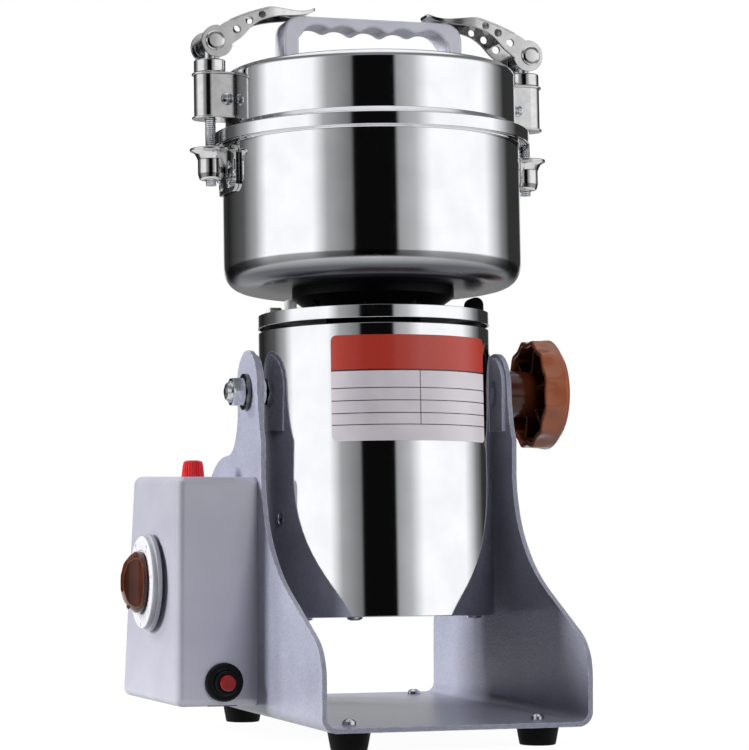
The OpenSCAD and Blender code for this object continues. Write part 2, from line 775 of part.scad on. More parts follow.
module keepers() color(steel) tilted() for (side = [-1, 1]) on_side(side) difference() {
    union() {
        intersection() {
            translate([0, 0, keeper_top - keeper_plate_h + 1.5])
                tube(bowl_r + 2.4, bowl_r + fit, keeper_plate_h);
            translate([bowl_r / 2, -keeper_half, 0]) cube([bowl_r, 2 * keeper_half, pivot_h]);
        }
        translate([bowl_r + 1, -9, keeper_top - keeper_flange_t])
            cube([rod_out - 1, 18, keeper_flange_t]);
        translate([rod_x, 0, keeper_top - keeper_flange_t])
            cylinder(h = keeper_flange_t, r = socket_d / 2 + 5);
        translate([rod_x, 0, keeper_top - socket_h]) cylinder(h = socket_h, r = socket_d / 2);
        translate([bowl_r + 1, -2, keeper_top - 16]) cube([rod_out - 4, 4, 14]);
    }
    translate([0, 0, keeper_top - 3]) cylinder(h = 4, r = bowl_r + fit);
    translate([rod_x, 0, keeper_top - socket_h - 1]) cylinder(h = socket_h + 2, r = rod_r + rod_fit);
    for (p = keeper_screw_places) keeper_screw_at(p) translate([0, 0, -1])
        cylinder(h = 5, r = keeper_screw_r + fit);
}

module keeper_screw_at(p) {
    rotate([0, 0, p[0]]) translate([bowl_r + 0.1, 0, keeper_top - p[1]]) rotate([0, 90, 0]) children();
}

module keeper_screws() color(dark_steel) tilted() for (side = [-1, 1], p = keeper_screw_places)
    on_side(side) keeper_screw_at(p) {
        translate([0, 0, 0.1]) cylinder(h = 2.5, r = keeper_screw_r, $fn = 24);
        translate([0, 0, 2.5]) cylinder(h = 1.3, r = 2.7, $fn = 24);
    }

module rating_label() color([0.88, 0.85, 0.87]) tilted() translate([0, 0, label_top - label_h])
    intersection() {
        tube(housing_r + 0.35, housing_r + 0.02, label_h);
        rotate([0, 0, label_turn]) linear_extrude(label_h) polygon([
            [0, 0], for (s = [-1, 0, 1])
                2 * housing_r * [cos(label_half_angle * s), sin(label_half_angle * s)]
        ]);
    }

module pivot_bolts() color(steel) at_pivot() for (side = [-1, 1]) on_side(side) {
    reach = side < 0 ? frame_half + washer_t + nut_t + 3 : star_outer - 8;
    along_x(bolt_head_x - eps, reach - bolt_head_x, bolt_r);
    translate([bolt_head_x - bolt_head_t, 0, 0]) rotate([0, 90, 0]) hex_prism(nut_across, bolt_head_t);
}

// A lock nut on each side of the housing, and the domed nut outside the left upright
module pivot_nuts() color(steel) at_pivot() {
    for (side = [-1, 1]) on_side(side) difference() {
        translate([housing_r + lock_gap, 0, 0]) rotate([0, 90, 0])
            hex_prism(nut_across, pad_face - housing_r - 2 * lock_gap);
        along_x(housing_r, side_gap, bolt_r + 0.02);
    }
    on_side(-1) translate([frame_half + washer_t + 0.1, 0, 0]) difference() {
        union() {
            rotate([0, 90, 0]) hex_prism(nut_across, nut_t);
            along_x(nut_t, 4, 0.4 * nut_across);
        }
        along_x(-1, nut_t + 10, bolt_r + 0.02);
    }
}

module pivot_washer() color(dark_steel) at_pivot() on_side(-1) difference() {
    along_x(frame_half + 0.1, washer_t - 0.1, 1.1 * bolt_d + 0.5);
    along_x(frame_half - 1, washer_t + 2, bolt_r + 0.1);
}

module clamp_washer() color(steel) at_pivot() difference() {
    along_x(frame_half + 0.1, washer_t - 0.1, clamp_washer_d / 2);
    along_x(frame_half - 1, washer_t + 2, bolt_r + 0.1);
}

module star_knob() color(brown) at_pivot() rotate([0, 90, 0]) difference() {
    union() {
        difference() {
            intersection() {
                translate([0, 0, star_inner]) cylinder(h = star_h + star_dome, r = star_d / 2);
                translate([0, 0, star_outer - star_d]) sphere(r = star_d);
            }
            for (i = [0:star_n - 1]) rotate([0, 0, 360 * i / star_n])
                translate([star_d / 2 + scallop_r - scallop_depth, 0, star_inner - 1])
                    cylinder(h = star_h + star_dome + 2, r = scallop_r);
            translate([0, 0, star_inner - 1]) cylinder(h = star_h - 3, r = star_d / 2 - star_wall);
        }
        translate([0, 0, frame_half + washer_t + 0.1]) cylinder(h = star_gap + star_h - 5, r = hub_r);
        for (i = [0:5]) rotate([0, 0, 60 * i]) translate([hub_r - 2, -1, star_inner + 3])
            cube([star_d / 2 - star_wall - hub_r + 3, 2, star_h - 6]);
    }
    translate([0, 0, frame_half + washer_t]) cylinder(h = insert_l + 0.2, r = insert_r + 0.02);
    translate([0, 0, frame_half]) cylinder(h = star_outer - 7 - frame_half, r = bolt_r + 0.3);
}

module knob_insert() color([0.76, 0.62, 0.30]) at_pivot() difference() {
    along_x(frame_half + washer_t + 0.1, insert_l, insert_r);
    along_x(frame_half + washer_t - 1, insert_l + 3, bolt_r + 0.08);
}

module rotor_shaft() color(steel) tilted()
    translate([0, 0, base_top + 4]) cylinder(h = shaft_end - base_top - 4, r = shaft_r);

module armature_core() color(dark_steel) tilted() {
    translate([0, 0, stator_bottom + 3]) tube(armature_d / 2, shaft_r + shaft_fit, stator_l - 6);
    for (z = [stator_bottom - 6, stator_top - 3 + eps])
        translate([0, 0, z]) tube(armature_d / 2 - 4, shaft_r + shaft_fit, 9 - eps);
}

module commutator() color(copper) tilted()
    translate([0, 0, brush_z - commutator_l / 2]) tube(commutator_r, shaft_r + shaft_fit, commutator_l);

module cooling_fan() color(black) tilted() translate([0, 0, stator_top + 12]) difference() {
    union() {
        cylinder(h = fan_plate_t, r = fan_d / 2);
        cylinder(h = fan_plate_t + fan_blade_h, r = fan_hub_r);
        for (i = [0:9]) rotate([0, 0, 36 * i]) translate([fan_hub_r - 1, -0.8, 1])
            cube([fan_d / 2 - fan_hub_r + 0.5, 1.6, fan_blade_h]);
    }
    translate([0, 0, -1]) cylinder(h = 20, r = shaft_r + shaft_fit);
}

module blade(length) {
    difference() {
        linear_extrude(blade_t) polygon([
            [-length / 2, -blade_w / 2], [length / 2 - 14, -blade_w / 2], [length / 2, -2],
            [length / 2, blade_w / 2], [-length / 2 + 14, blade_w / 2], [-length / 2, 2]
        ]);
        translate([0, 0, -1]) cylinder(h = blade_t + 2, r = shaft_r + shaft_fit);
    }
}

module blades() color(steel) tilted() {
    translate([0, 0, blade_z]) rotate([0, 0, 25]) blade(blade_l);
    translate([0, 0, upper_blade_z]) rotate([0, 0, 115]) blade(0.78 * blade_l);
}

module blade_spacers() color(dark_steel) tilted() {
    translate([0, 0, bowl_inside + 3.4]) tube(spacer_r, shaft_r + shaft_fit, blade_z - bowl_inside - 3.4);
    translate([0, 0, blade_z + blade_t]) tube(spacer_r, shaft_r + shaft_fit, spacer_l);
}

module blade_nut() color(steel) tilted() translate([0, 0, upper_blade_z + blade_t]) difference() {
    hex_prism(19, 8);
    translate([0, 0, -1]) cylinder(h = 10, r = shaft_r + shaft_fit);
}

function dome_z(r) = dome_top - dome_radius + sqrt(pow(dome_radius, 2) - pow(r, 2));

// Outside of the lid as a solid of revolution, moved inwards by the given inset
function lid_outline(inset) = concat(
    [[skirt_r - inset, skirt_bottom], [skirt_r - inset, skirt_top - inset - 1],
     [skirt_r - inset - 1, skirt_top - inset], [lid_r + 2.5 - inset, wall_bottom - inset - 1.2],
     [lid_r - inset, wall_bottom + 1]],
    arc(dome_base_r, wall_top - lid_corner, lid_corner - inset, 0, 90 - dome_edge),
    arc(0, dome_top - dome_radius, dome_radius - inset, 90 - dome_edge, 90)
);

module lid_shell() color(steel) tilted() difference() {
    revolve(concat(lid_outline(0), [[0, skirt_bottom]]));
    revolve(concat([[skirt_in, skirt_bottom - 1]], lid_outline(lid_t), [[0, skirt_bottom - 1]]));
    handle_screw_places() cylinder(h = handle_top, r = handle_screw_r + fit);
}

module lid_liner() color(steel) tilted() translate([0, 0, gasket_top])
    cylinder(h = 1.2, r = skirt_in - 0.1);

module lid_gasket() color([0.90, 0.90, 0.88]) tilted() translate([0, 0, rim_top])
    tube(rim_r - 0.3, bowl_r - 3, gasket_t);

module handle_screw_places() {
    for (side = [-1, 1]) translate([side * (handle_l - handle_leg) / 2, 0, 0]) children();
}

// Finger waves under the handle's bar
module handle_outline() {
    half = handle_l / 2;
    wave_end = half - handle_leg - wave_r;
    difference() {
        union() {
            translate([-half, wall_top]) square([handle_l, handle_h - handle_corner]);
            translate([handle_corner - half, wall_top]) square([handle_l - 2 * handle_corner, handle_h]);
            for (s = [-1, 1]) translate([s * (half - handle_corner), handle_top - handle_corner])
                circle(r = handle_corner);
        }
        translate([handle_leg - half, wall_top - 1])
            square([handle_l - 2 * handle_leg, handle_h - handle_bar]);
        for (x = [-wave_end, -wave_pitch, 0, wave_pitch, wave_end])
            translate([x, handle_top - handle_bar + wave_depth - wave_r]) circle(r = wave_r);
    }
}

module lid_handle() color(cast_grey) tilted() difference() {
    rotate([90, 0, 0]) translate([0, 0, -handle_w / 2]) linear_extrude(handle_w) handle_outline();
    revolve(concat([for (p = lid_outline(0)) p + [0, fit]], [[0, skirt_bottom]]));
    handle_screw_places() cylinder(h = dome_top + handle_screw_l - 3, r = handle_screw_r + fit);
}

// Screws up into the handle's legs from inside the lid, and a bolt through each lug
module lid_screws() color(steel) tilted() {
    head_top = dome_z((handle_l - handle_leg) / 2 + 5) - lid_t - fit;
    handle_screw_places() {
        translate([0, 0, head_top - 3]) cylinder(h = 3, r = 5);
        translate([0, 0, head_top - eps]) cylinder(h = handle_screw_l, r = handle_screw_r);
    }
    for (side = [-1, 1]) on_side(side) translate([lug_bolt_x, 0, lug_bolt_z]) {
        along_y(-lug_half - lug_bolt_head_t, 2 * (lug_half + lug_bolt_head_t), small_screw_r);
        along_y(-lug_half - lug_bolt_head_t, lug_bolt_head_t, 4);
        along_y(lug_half, lug_bolt_head_t, 4);
    }
}

module latch_lugs() color(steel) tilted() for (side = [-1, 1]) on_side(side) difference() {
    union() {
        translate([lid_r - 4, -lug_half, lug_bottom]) cube([rod_x + 9 - lid_r, 2 * lug_half, lug_h]);
        translate([lug_out, 0, lug_bottom]) cylinder(h = lug_h, r = lug_half - 2);
        for (z = [lug_bottom, lug_top - lug_brim_t]) {
            translate([lid_r - 4, -lug_half - lug_brim, z])
                cube([rod_x + 8 - lid_r, 2 * (lug_half + lug_brim), lug_brim_t]);
            translate([lug_out - 1, 0, z]) cylinder(h = lug_brim_t, r = lug_half + 0.8);
        }
    }
    translate([0, 0, lug_bottom - 1]) cylinder(h = lug_h + 2, r = lid_r + fit);
    translate([rod_x, 0, lug_bottom - 1]) cylinder(h = lug_h + 2, r = rod_r + rod_fit);
    translate([lug_bolt_x, 0, lug_bolt_z]) along_y(-lug_half - 5, 2 * lug_half + 10, small_screw_r + fit);
}

module latch_collars() color(steel) tilted() for (side = [-1, 1]) on_side(side)
    translate([rod_x, 0, lug_top]) tube(latch_collar_d / 2, rod_r + rod_fit, latch_collar_h);

module latch_rod(side) color(steel) tilted() on_side(side) difference() {
    union() {
        translate([rod_x, 0, keeper_top - socket_h - 3.5])
            cylinder(h = pin_z - keeper_top + socket_h + 3.5, r = rod_r);
        translate([rod_x, 0, pin_z]) along_y(-eye_w / 2, eye_w, eye_r);
    }
    translate([rod_x, 0, pin_z]) along_y(-eye_w, 2 * eye_w, pin_d / 2 + 0.05);
}

module rod_left() latch_rod(-1);
module rod_right() latch_rod(1);

module lever_pin(side) color(dark_steel) tilted() on_side(side) translate([rod_x, 0, pin_z]) {
    along_y(-lever_w / 2 - 0.3, lever_w + 0.6, pin_d / 2);
    for (s = [-1, 1]) along_y(s * (lever_w / 2 + 1.2) - pin_head_t / 2, pin_head_t, pin_d / 2 + 2.6);
}

module pin_left() lever_pin(-1);
module pin_right() lever_pin(1);

module lever_side() difference() {
    union() {
        polygon(concat([[0, 0]], lever_top, lever_under));
        translate([cam_offset, 0]) circle(r = cam_r);
    }
    circle(r = pin_d / 2 + 0.08);
    for (p = lever_holes) translate(p) circle(r = lever_hole_r);
}

module lever_web() {
    top = [for (p = lever_top) if (p[0] > web_from) p];
    polygon(concat(top, [for (i = [len(top) - 1:-1:0]) top[i] - [0, web_t]]));
}

module latch_lever(side) color(steel) tilted() on_side(side) translate([rod_x, 0, pin_z])
    mirror([1, 0, 0]) rotate([90, 0, 0]) {
        for (y = [-lever_w / 2, lever_w / 2 - lever_wall])
            translate([0, 0, y]) linear_extrude(lever_wall) lever_side();
        translate([0, 0, -lever_w / 2]) linear_extrude(lever_w) lever_web();
    }

module lever_left() latch_lever(-1);
module lever_right() latch_lever(1);

base_frame();
rubber_feet();
foot_screws();
control_box();
box_screws();
dial_plate();
timer_body();
lamp_holder();
lamp_lens();
breaker_body();
terminal_block();
cord_gland();
timer_knob();
timer_shaft();
reset_button();
motor_housing();
motor_base();
housing_screws();
lower_bell();
upper_bell();
stator_core();
field_coils();
brush_gear();
bearings();
top_band();
top_cover();
cover_posts();
stop_block();
bowl_adapter();
bowl();
shaft_seal();
keepers();
keeper_screws();
rating_label();
pivot_bolts();
pivot_nuts();
pivot_washer();
rotor_shaft();
armature_core();
commutator();
cooling_fan();
blades();
blade_spacers();
blade_nut();
clamp_washer();
star_knob();
knob_insert();
lid_shell();
lid_liner();
lid_gasket();
lid_handle();
lid_screws();
latch_lugs();
latch_collars();
rod_left();
rod_right();
pin_left();
pin_right();
lever_left();
lever_right();
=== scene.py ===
# Looks of a swing-type herb grinder: a stainless bowl and motor tilting in a folded stand.
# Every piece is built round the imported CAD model, in metres, +Z up, in the same frame.
import math
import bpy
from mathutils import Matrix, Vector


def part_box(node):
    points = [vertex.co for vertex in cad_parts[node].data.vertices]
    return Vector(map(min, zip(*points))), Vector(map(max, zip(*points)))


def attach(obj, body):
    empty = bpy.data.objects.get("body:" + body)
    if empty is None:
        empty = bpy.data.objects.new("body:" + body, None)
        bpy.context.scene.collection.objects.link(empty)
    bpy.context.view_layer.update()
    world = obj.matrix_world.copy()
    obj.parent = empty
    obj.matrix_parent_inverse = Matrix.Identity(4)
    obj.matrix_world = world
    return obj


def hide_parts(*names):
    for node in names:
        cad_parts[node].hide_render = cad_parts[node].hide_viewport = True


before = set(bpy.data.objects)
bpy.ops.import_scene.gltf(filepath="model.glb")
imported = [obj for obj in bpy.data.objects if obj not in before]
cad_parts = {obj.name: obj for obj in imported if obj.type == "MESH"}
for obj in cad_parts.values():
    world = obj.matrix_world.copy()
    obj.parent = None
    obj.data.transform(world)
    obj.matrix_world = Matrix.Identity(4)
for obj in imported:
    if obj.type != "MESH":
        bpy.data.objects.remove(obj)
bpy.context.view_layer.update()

from types import SimpleNamespace

import bmesh
import bpy
from mathutils import Matrix, Vector

MM = 0.001
bpy.context.scene.view_settings.view_transform = "Standard"

# Camera
# A long lens, a little below the motor's pivot, 19 degrees round to the left. It looks
# slightly up, so the bowl shows its underside and the feet their sides.
stand_low, stand_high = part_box("base_frame")
washer_low, washer_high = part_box("clamp_washer")
pivot = (washer_low + washer_high) / 2
pivot.x = (stand_low.x + stand_high.x) / 2
camera_turn, camera_pitch = math.radians(19.0), math.radians(1.909)
camera_reach, camera_drop = 1.905, 0.052
focal_pixels, image_pixels = 3000.0, 749.0


def put_in(name, data):
    """A new object in the scene."""
    thing = bpy.data.objects.new(name, data)
    bpy.context.scene.collection.objects.link(thing)
    return thing


camera_data = bpy.data.cameras.new("camera")
camera_data.sensor_width = 36.0
camera_data.lens = focal_pixels / image_pixels * camera_data.sensor_width
camera_data.clip_start = 0.1
camera = put_in("camera", camera_data)
camera.location = pivot + Vector((
    -camera_reach * math.sin(camera_turn), -camera_reach * math.cos(camera_turn), -camera_drop))
camera.rotation_euler = (math.pi / 2 + camera_pitch, 0.0, -camera_turn)
bpy.context.scene.camera = camera

# Floor and light
# A white background to the camera, four soft lamps that reflections don't show, and a studio
# that only reflections show: white panels beside the camera, dark flags at it and further
# back, and white straight behind the object. The floor is a round table of 0.8 m radius.


def hex_colour(code):
    """A linear colour from an sRGB hex value."""
    parts = [int(code[i:i + 2], 16) / 255 for i in (1, 3, 5)]
    return [c / 12.92 if c <= 0.04045 else ((c + 0.055) / 1.055) ** 2.4 for c in parts] + [1.0]


def fill(node, inputs):
    """Fills a node's inputs, each with a value, a hex colour, a socket, or a node's output."""
    for key, value in inputs.items():
        if isinstance(value, bpy.types.Node):
            value = next(socket for socket in value.outputs if socket.enabled)
        if isinstance(value, bpy.types.NodeSocket):
            node.id_data.links.new(value, node.inputs[key])
        else:
            node.inputs[key].default_value = hex_colour(value) if isinstance(value, str) else value


def add(tree, kind, inputs=(), **settings):
    """Adds a node with its settings and its inputs, which go by name or in the node's order."""
    node = tree.nodes.new("ShaderNode" + kind)
    for key, value in settings.items():
        setattr(node, key, value)
    fill(node, inputs if isinstance(inputs, dict) else dict(enumerate(inputs)))
    return node


def with_stops(ramp_node, stops):
    """Gives a colour ramp its greys, from (position, brightness) pairs."""
    elements = ramp_node.color_ramp.elements
    while len(elements) < len(stops):
        elements.new(1.0)
    for element, (position, brightness) in zip(elements, stops):
        element.position = position
        element.color = [brightness] * 3 + [1.0]
    return ramp_node


# Brightness of the mirrored studio by direction, in degrees round from the camera to its right
studio_panels = [
    (-180, 1.0), (-165, 1.0), (-160, 0.05), (-143, 0.02), (-116, 0.12), (-100, 0.5), (-88, 1.3),
    (-46, 1.3), (-34, 0.48), (-15, 0.22), (-12.5, 0.004), (18.5, 0.004), (21, 0.42), (34, 0.62),
    (47, 1.3), (98, 1.3), (108, 0.8), (118, 0.3), (130, 0.04), (160, 0.04), (165, 1.0), (180, 1.0)]
# Above the panels it is dim up to a soft panel in its ceiling; by the sine of the height
ceiling_panels = [(0.0, 0.5), (0.42, 0.35), (0.6, 0.18), (0.74, 0.3), (0.82, 1.15), (1.0, 1.25)]
# Below the table's height, beyond its edge, the panels are about a third as bright
under_table = 0.36
world = bpy.data.worlds.new("studio")
bpy.context.scene.world = world
world.use_nodes = True
tree = world.node_tree
tree.nodes.clear()
towards = add(tree, "TexCoord").outputs["Generated"]
turned_back = add(tree, "Mapping", {
    "Vector": towards, "Rotation": (0.0, 0.0, camera_turn + math.pi / 2)})
round_studio = add(tree, "TexGradient", {"Vector": turned_back}, gradient_type="RADIAL").outputs["Fac"]
panels = with_stops(add(tree, "ValToRGB", {"Fac": round_studio}),
                    [(0.5 + angle / 360, level) for angle, level in studio_panels])
seen = add(tree, "LightPath").outputs
mirrored = add(tree, "Math", (seen["Is Glossy Ray"], seen["Is Transmission Ray"]),
               operation="MAXIMUM")
ambient = add(tree, "Background", {"Color": "#f4f5fa", "Strength": 0.04})
rise = add(tree, "SeparateXYZ", (towards,)).outputs["Z"]
ceiling = with_stops(add(tree, "ValToRGB", {"Fac": rise}), ceiling_panels)
below = add(tree, "MapRange", (rise, -0.02, -0.06, 1.0, under_table))
panels = add(tree, "Mix", {0: 1.0, 6: panels, 7: below}, data_type="RGBA", blend_type="MULTIPLY")
over_all = add(tree, "MapRange", (rise, 0.30, 0.42), interpolation_type="SMOOTHSTEP")
all_round = add(tree, "Mix", {0: over_all, 6: panels, 7: ceiling}, data_type="RGBA")
studio = add(tree, "Background", {"Color": all_round, "Strength": 1.0})
backdrop = add(tree, "Background", {"Color": "#ffffff", "Strength": 1.0})
lit_or_mirrored = add(tree, "MixShader", (mirrored, ambient, studio))
whole = add(tree, "MixShader", (seen["Is Camera Ray"], lit_or_mirrored, backdrop))
add(tree, "OutputWorld", {"Surface": whole})

# The lamps: direction and height in degrees, distance and size in metres, power in watts
light_target = Vector((0, 0, 0.2))
for name, turn, height, reach, size, power in (
        ("left", -68, 13, 2.2, (0.5, 0.6), 60), ("back_left", -48, 32, 2.2, (0.35, 0.7), 26),
        ("front", 172, 24, 1.3, (0.4, 0.4), 9), ("right", 84, 16, 2.0, (0.5, 0.6), 24)):
    lamp = bpy.data.lights.new(name, "AREA")
    lamp.shape = "RECTANGLE"
    lamp.size, lamp.size_y = size
    lamp.energy = power
    light = put_in(name, lamp)
    turn, height = math.radians(turn), math.radians(height)
    away = Vector((
        math.cos(height) * math.sin(turn), math.cos(height) * math.cos(turn), math.sin(height)))
    light.location = light_target + away * reach
    light.rotation_euler = away.to_track_quat("Z", "Y").to_euler()
    light.visible_glossy = False


def as_mesh(name, bm):
    """Ends a bmesh as a mesh."""
    mesh = bpy.data.meshes.new(name)
    bm.to_mesh(mesh)
    bm.free()
    return mesh


# The floor glows nearly white where it is seen or mirrored, with the object's shadow on it,
# and is a matt mid grey to the light that it sends back to the object.
table_radius = 0.8
pale_floor = bpy.data.materials.new("pale_floor")
pale_floor.use_nodes = True
tree = pale_floor.node_tree
tree.nodes.clear()
seen = add(tree, "LightPath").outputs
shown = seen["Is Camera Ray"]
for ray in ("Is Glossy Ray", "Is Transmission Ray"):
    shown = add(tree, "Math", (shown, seen[ray]), operation="MAXIMUM")
matt = add(tree, "BsdfDiffuse", {"Color": "#8c8c90"})
shaded = add(tree, "BsdfDiffuse", {"Color": "#505052"})
glow = add(tree, "Emission", {"Color": "#ffffff", "Strength": 0.965})
add(tree, "OutputMaterial", {
    "Surface": add(tree, "MixShader", (shown, matt, add(tree, "AddShader", (shaded, glow))))})
disc = bmesh.new()
bmesh.ops.create_circle(disc, cap_ends=True, segments=96, radius=table_radius)
floor = put_in("floor", as_mesh("floor", disc))
floor.data.materials.append(pale_floor)

# Stand
# One 3 mm steel sheet, blanked, folded up into a U and stoved in a grey-blue hammered
# enamel. Its corners are worn a little brighter, and pads are pressed in round the pivot.


def cad_copy(node):
    """The CAD node's surface as one joined mesh, with its flat areas made whole again."""
    same_point, same_plane = 2e-6, math.radians(0.4)
    bm = bmesh.new()
    bm.from_mesh(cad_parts[node].data)
    bmesh.ops.remove_doubles(bm, verts=bm.verts, dist=same_point)
    bmesh.ops.dissolve_limit(bm, angle_limit=same_plane, verts=bm.verts, edges=bm.edges,
                             use_dissolve_boundaries=False)
    return bm


def soften(bm, width, angle=40.0, segments=2):
    """Rounds the edges that are sharper than an angle."""
    sharp = math.radians(angle)
    edges = [e for e in bm.edges if len(e.link_faces) == 2 and e.calc_face_angle(0.0) > sharp]
    bmesh.ops.bevel(bm, geom=edges, offset=width, offset_type="OFFSET", segments=segments,
                    profile=0.5, affect="EDGES", clamp_overlap=True, material=-1)
    return bm


def finish_piece(name, bm, body, finish, replaced=None, place=None, smooth=40.0):
    """Puts a mesh in its place as an object of its own, and says what it rides on.

    Faces that meet at less than the smooth angle share a normal, weighed by their areas, so
    that a flat area stays flat beside the narrow faces of a rounded edge."""
    if place is not None:
        bmesh.ops.transform(bm, matrix=place, verts=bm.verts)
        if place.determinant() < 0:
            bmesh.ops.reverse_faces(bm, faces=bm.faces)
    bm.normal_update()
    bm.faces.index_update()
    weighed = [f.normal * f.calc_area() for f in bm.faces]
    limit = math.cos(math.radians(smooth))
    normals = []
    for f in bm.faces:
        for v in f.verts:
            near = [weighed[g.index] for g in v.link_faces if g.normal.dot(f.normal) > limit]
            total = sum(near, Vector())
            normals.append(total.normalized() if total.length > 0 else f.normal.copy())
    mesh = as_mesh(name, bm)
    mesh.shade_smooth()
    mesh.normals_split_custom_set(normals)
    mesh.materials.append(finish.material)
    piece = put_in(name, mesh)
    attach(piece, body)
    if replaced:
        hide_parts(replaced)
    return piece


def new_finish(name):
    """A new material, with its node tree, its shader and the place on the object in mm."""
    material = bpy.data.materials.new(name)
    material.use_nodes = True
    tree = material.node_tree
    tree.nodes.clear()
    shader = add(tree, "BsdfPrincipled")
    add(tree, "OutputMaterial", {"Surface": shader})
    place = add(tree, "VectorMath", (add(tree, "TexCoord").outputs["Object"], (1000, 1000, 1000)),
                operation="MULTIPLY")
    return SimpleNamespace(material=material, tree=tree, shader=shader, place=place)


def coats(tree, ground, *layers):
    """A colour with others laid over it, each as (pattern, low, high, cover, colour).

    A layer begins where its pattern passes low, and from high on it covers by its share."""
    for pattern, low, high, cover, colour in layers:
        share = add(tree, "MapRange", (pattern, low, high, 0.0, cover))
        ground = add(tree, "Mix", {0: share, 6: ground, 7: colour}, data_type="RGBA")
    return ground


def relief(tree, *layers):
    """The surface's relief from (pattern, depth in mm, strength), each laid over the last."""
    under = {}
    for pattern, depth, strength in layers:
        under["Normal"] = add(tree, "Bump", {
            "Height": pattern, "Distance": depth * MM, "Strength": strength, **under})
    return under["Normal"]


def flatness(tree, radius):
    """1 on flat areas, and less on edges, where a rounding in mm turns the surface."""
    eased = add(tree, "Bevel", {"Radius": radius * MM}, samples=4)
    plain = add(tree, "NewGeometry").outputs["Normal"]
    return add(tree, "VectorMath", (eased, plain), operation="DOT_PRODUCT")


# Hammered enamel: the flow of the coat leaves dimples 1 to 2 mm wide with pale metallic
# flecks in them, under a soft gloss. At the edges the coat is thin in patches.
hammered = new_finish("hammered_enamel")
tree, place = hammered.tree, hammered.place
dimples = add(tree, "TexVoronoi", {"Vector": place, "Scale": 0.62, "Smoothness": 0.6},
              feature="SMOOTH_F1")
flecks = add(tree, "TexNoise", {
    "Vector": place, "Scale": 1 / 0.45, "Detail": 3.0, "Roughness": 0.7})
clouds = add(tree, "TexNoise", {"Vector": place, "Scale": 1 / 28.0})
patches = add(tree, "TexNoise", {"Vector": place, "Scale": 1 / 3.5, "Detail": 3.0})
wear = add(tree, "Math", (
    add(tree, "MapRange", (flatness(tree, 0.9), 1.0, 0.985)),
    add(tree, "MapRange", (patches, 0.42, 0.6))), operation="MULTIPLY")
enamel = coats(tree, "#9294a6", (clouds, 0.35, 0.65, 1.0, "#9d9fb1"),
               (dimples, 0.1, 0.9, 0.5, "#7d7f90"), (flecks, 0.5, 0.64, 0.75, "#c3c5d2"))
fill(hammered.shader, {
    "Base Color": add(tree, "Mix", {0: wear, 6: enamel, 7: "#c9cad6"}, data_type="RGBA"),
    "Metallic": 0.08, "Specular IOR Level": 0.2,
    "Roughness": add(tree, "MapRange", (flecks, 0.3, 0.7, 0.26, 0.4)),
    "Normal": relief(tree, (dimples, 0.14, 0.7), (flecks, 0.03, 0.6))})
finish_piece("stand_sheet", soften(cad_copy("base_frame"), 0.5 * MM, 35), "stand",
             hammered, "base_frame")

# Feet
# Four moulded rubber feet, tapered to the ground, each held by a pan-head cross screw
# down through the base.


def turned(profile, steps=64, loop=True):
    """A lathe-turned body from (radius, height) points, closed where loop is set."""
    bm = bmesh.new()
    points = [bm.verts.new((r, 0.0, z)) for r, z in profile]
    pairs = list(zip(points, points[1:])) + ([(points[-1], points[0])] if loop else [])
    edges = [bm.edges.new(pair) for pair in pairs]
    bmesh.ops.spin(bm, geom=points + edges, cent=(0, 0, 0), axis=(0, 0, 1),
                   angle=2 * math.pi, steps=steps, use_merge=True)
    bmesh.ops.remove_doubles(bm, verts=bm.verts, dist=1e-4)
    bmesh.ops.dissolve_degenerate(bm, edges=bm.edges, dist=1e-5)
    bmesh.ops.recalc_face_normals(bm, faces=bm.faces)
    return bm


def rounded(points, radius, steps=4):
    """A profile with its corners rounded: points are (r, z), or (r, z, own radius)."""
    nearly_straight = math.radians(176)
    out = []
    for i, point in enumerate(points):
        own = point[2] if len(point) > 2 else radius
        here = Vector(point[:2])
        to_last = Vector(points[i - 1][:2]) - here
        to_next = Vector(points[(i + 1) % len(points)][:2]) - here
        turn = to_last.angle(to_next, math.pi) if own > 0 else math.pi
        if own <= 0 or turn > nearly_straight:
            out.append((here.x, here.y))
            continue
        reach = min(own / math.tan(turn / 2), 0.49 * to_last.length, 0.49 * to_next.length)
        start = here + to_last.normalized() * reach
        end = here + to_next.normalized() * reach
        for k in range(steps + 1):
            t = k / steps
            p = start * (1 - t) ** 2 + here * 2 * t * (1 - t) + end * t ** 2
            out.append((p.x, p.y))
    return out


def joined(parts):
    """Several meshes in one. A part comes alone, or as a pair with its place."""
    whole = bmesh.new()
    for part in parts:
        part, place = part if isinstance(part, tuple) else (part, Matrix())
        bmesh.ops.transform(part, matrix=place, verts=part.verts)
        if place.determinant() < 0:
            bmesh.ops.reverse_faces(part, faces=part.faces)
        mesh = as_mesh("part", part)
        whole.from_mesh(mesh)
        bpy.data.meshes.remove(mesh)
    return whole


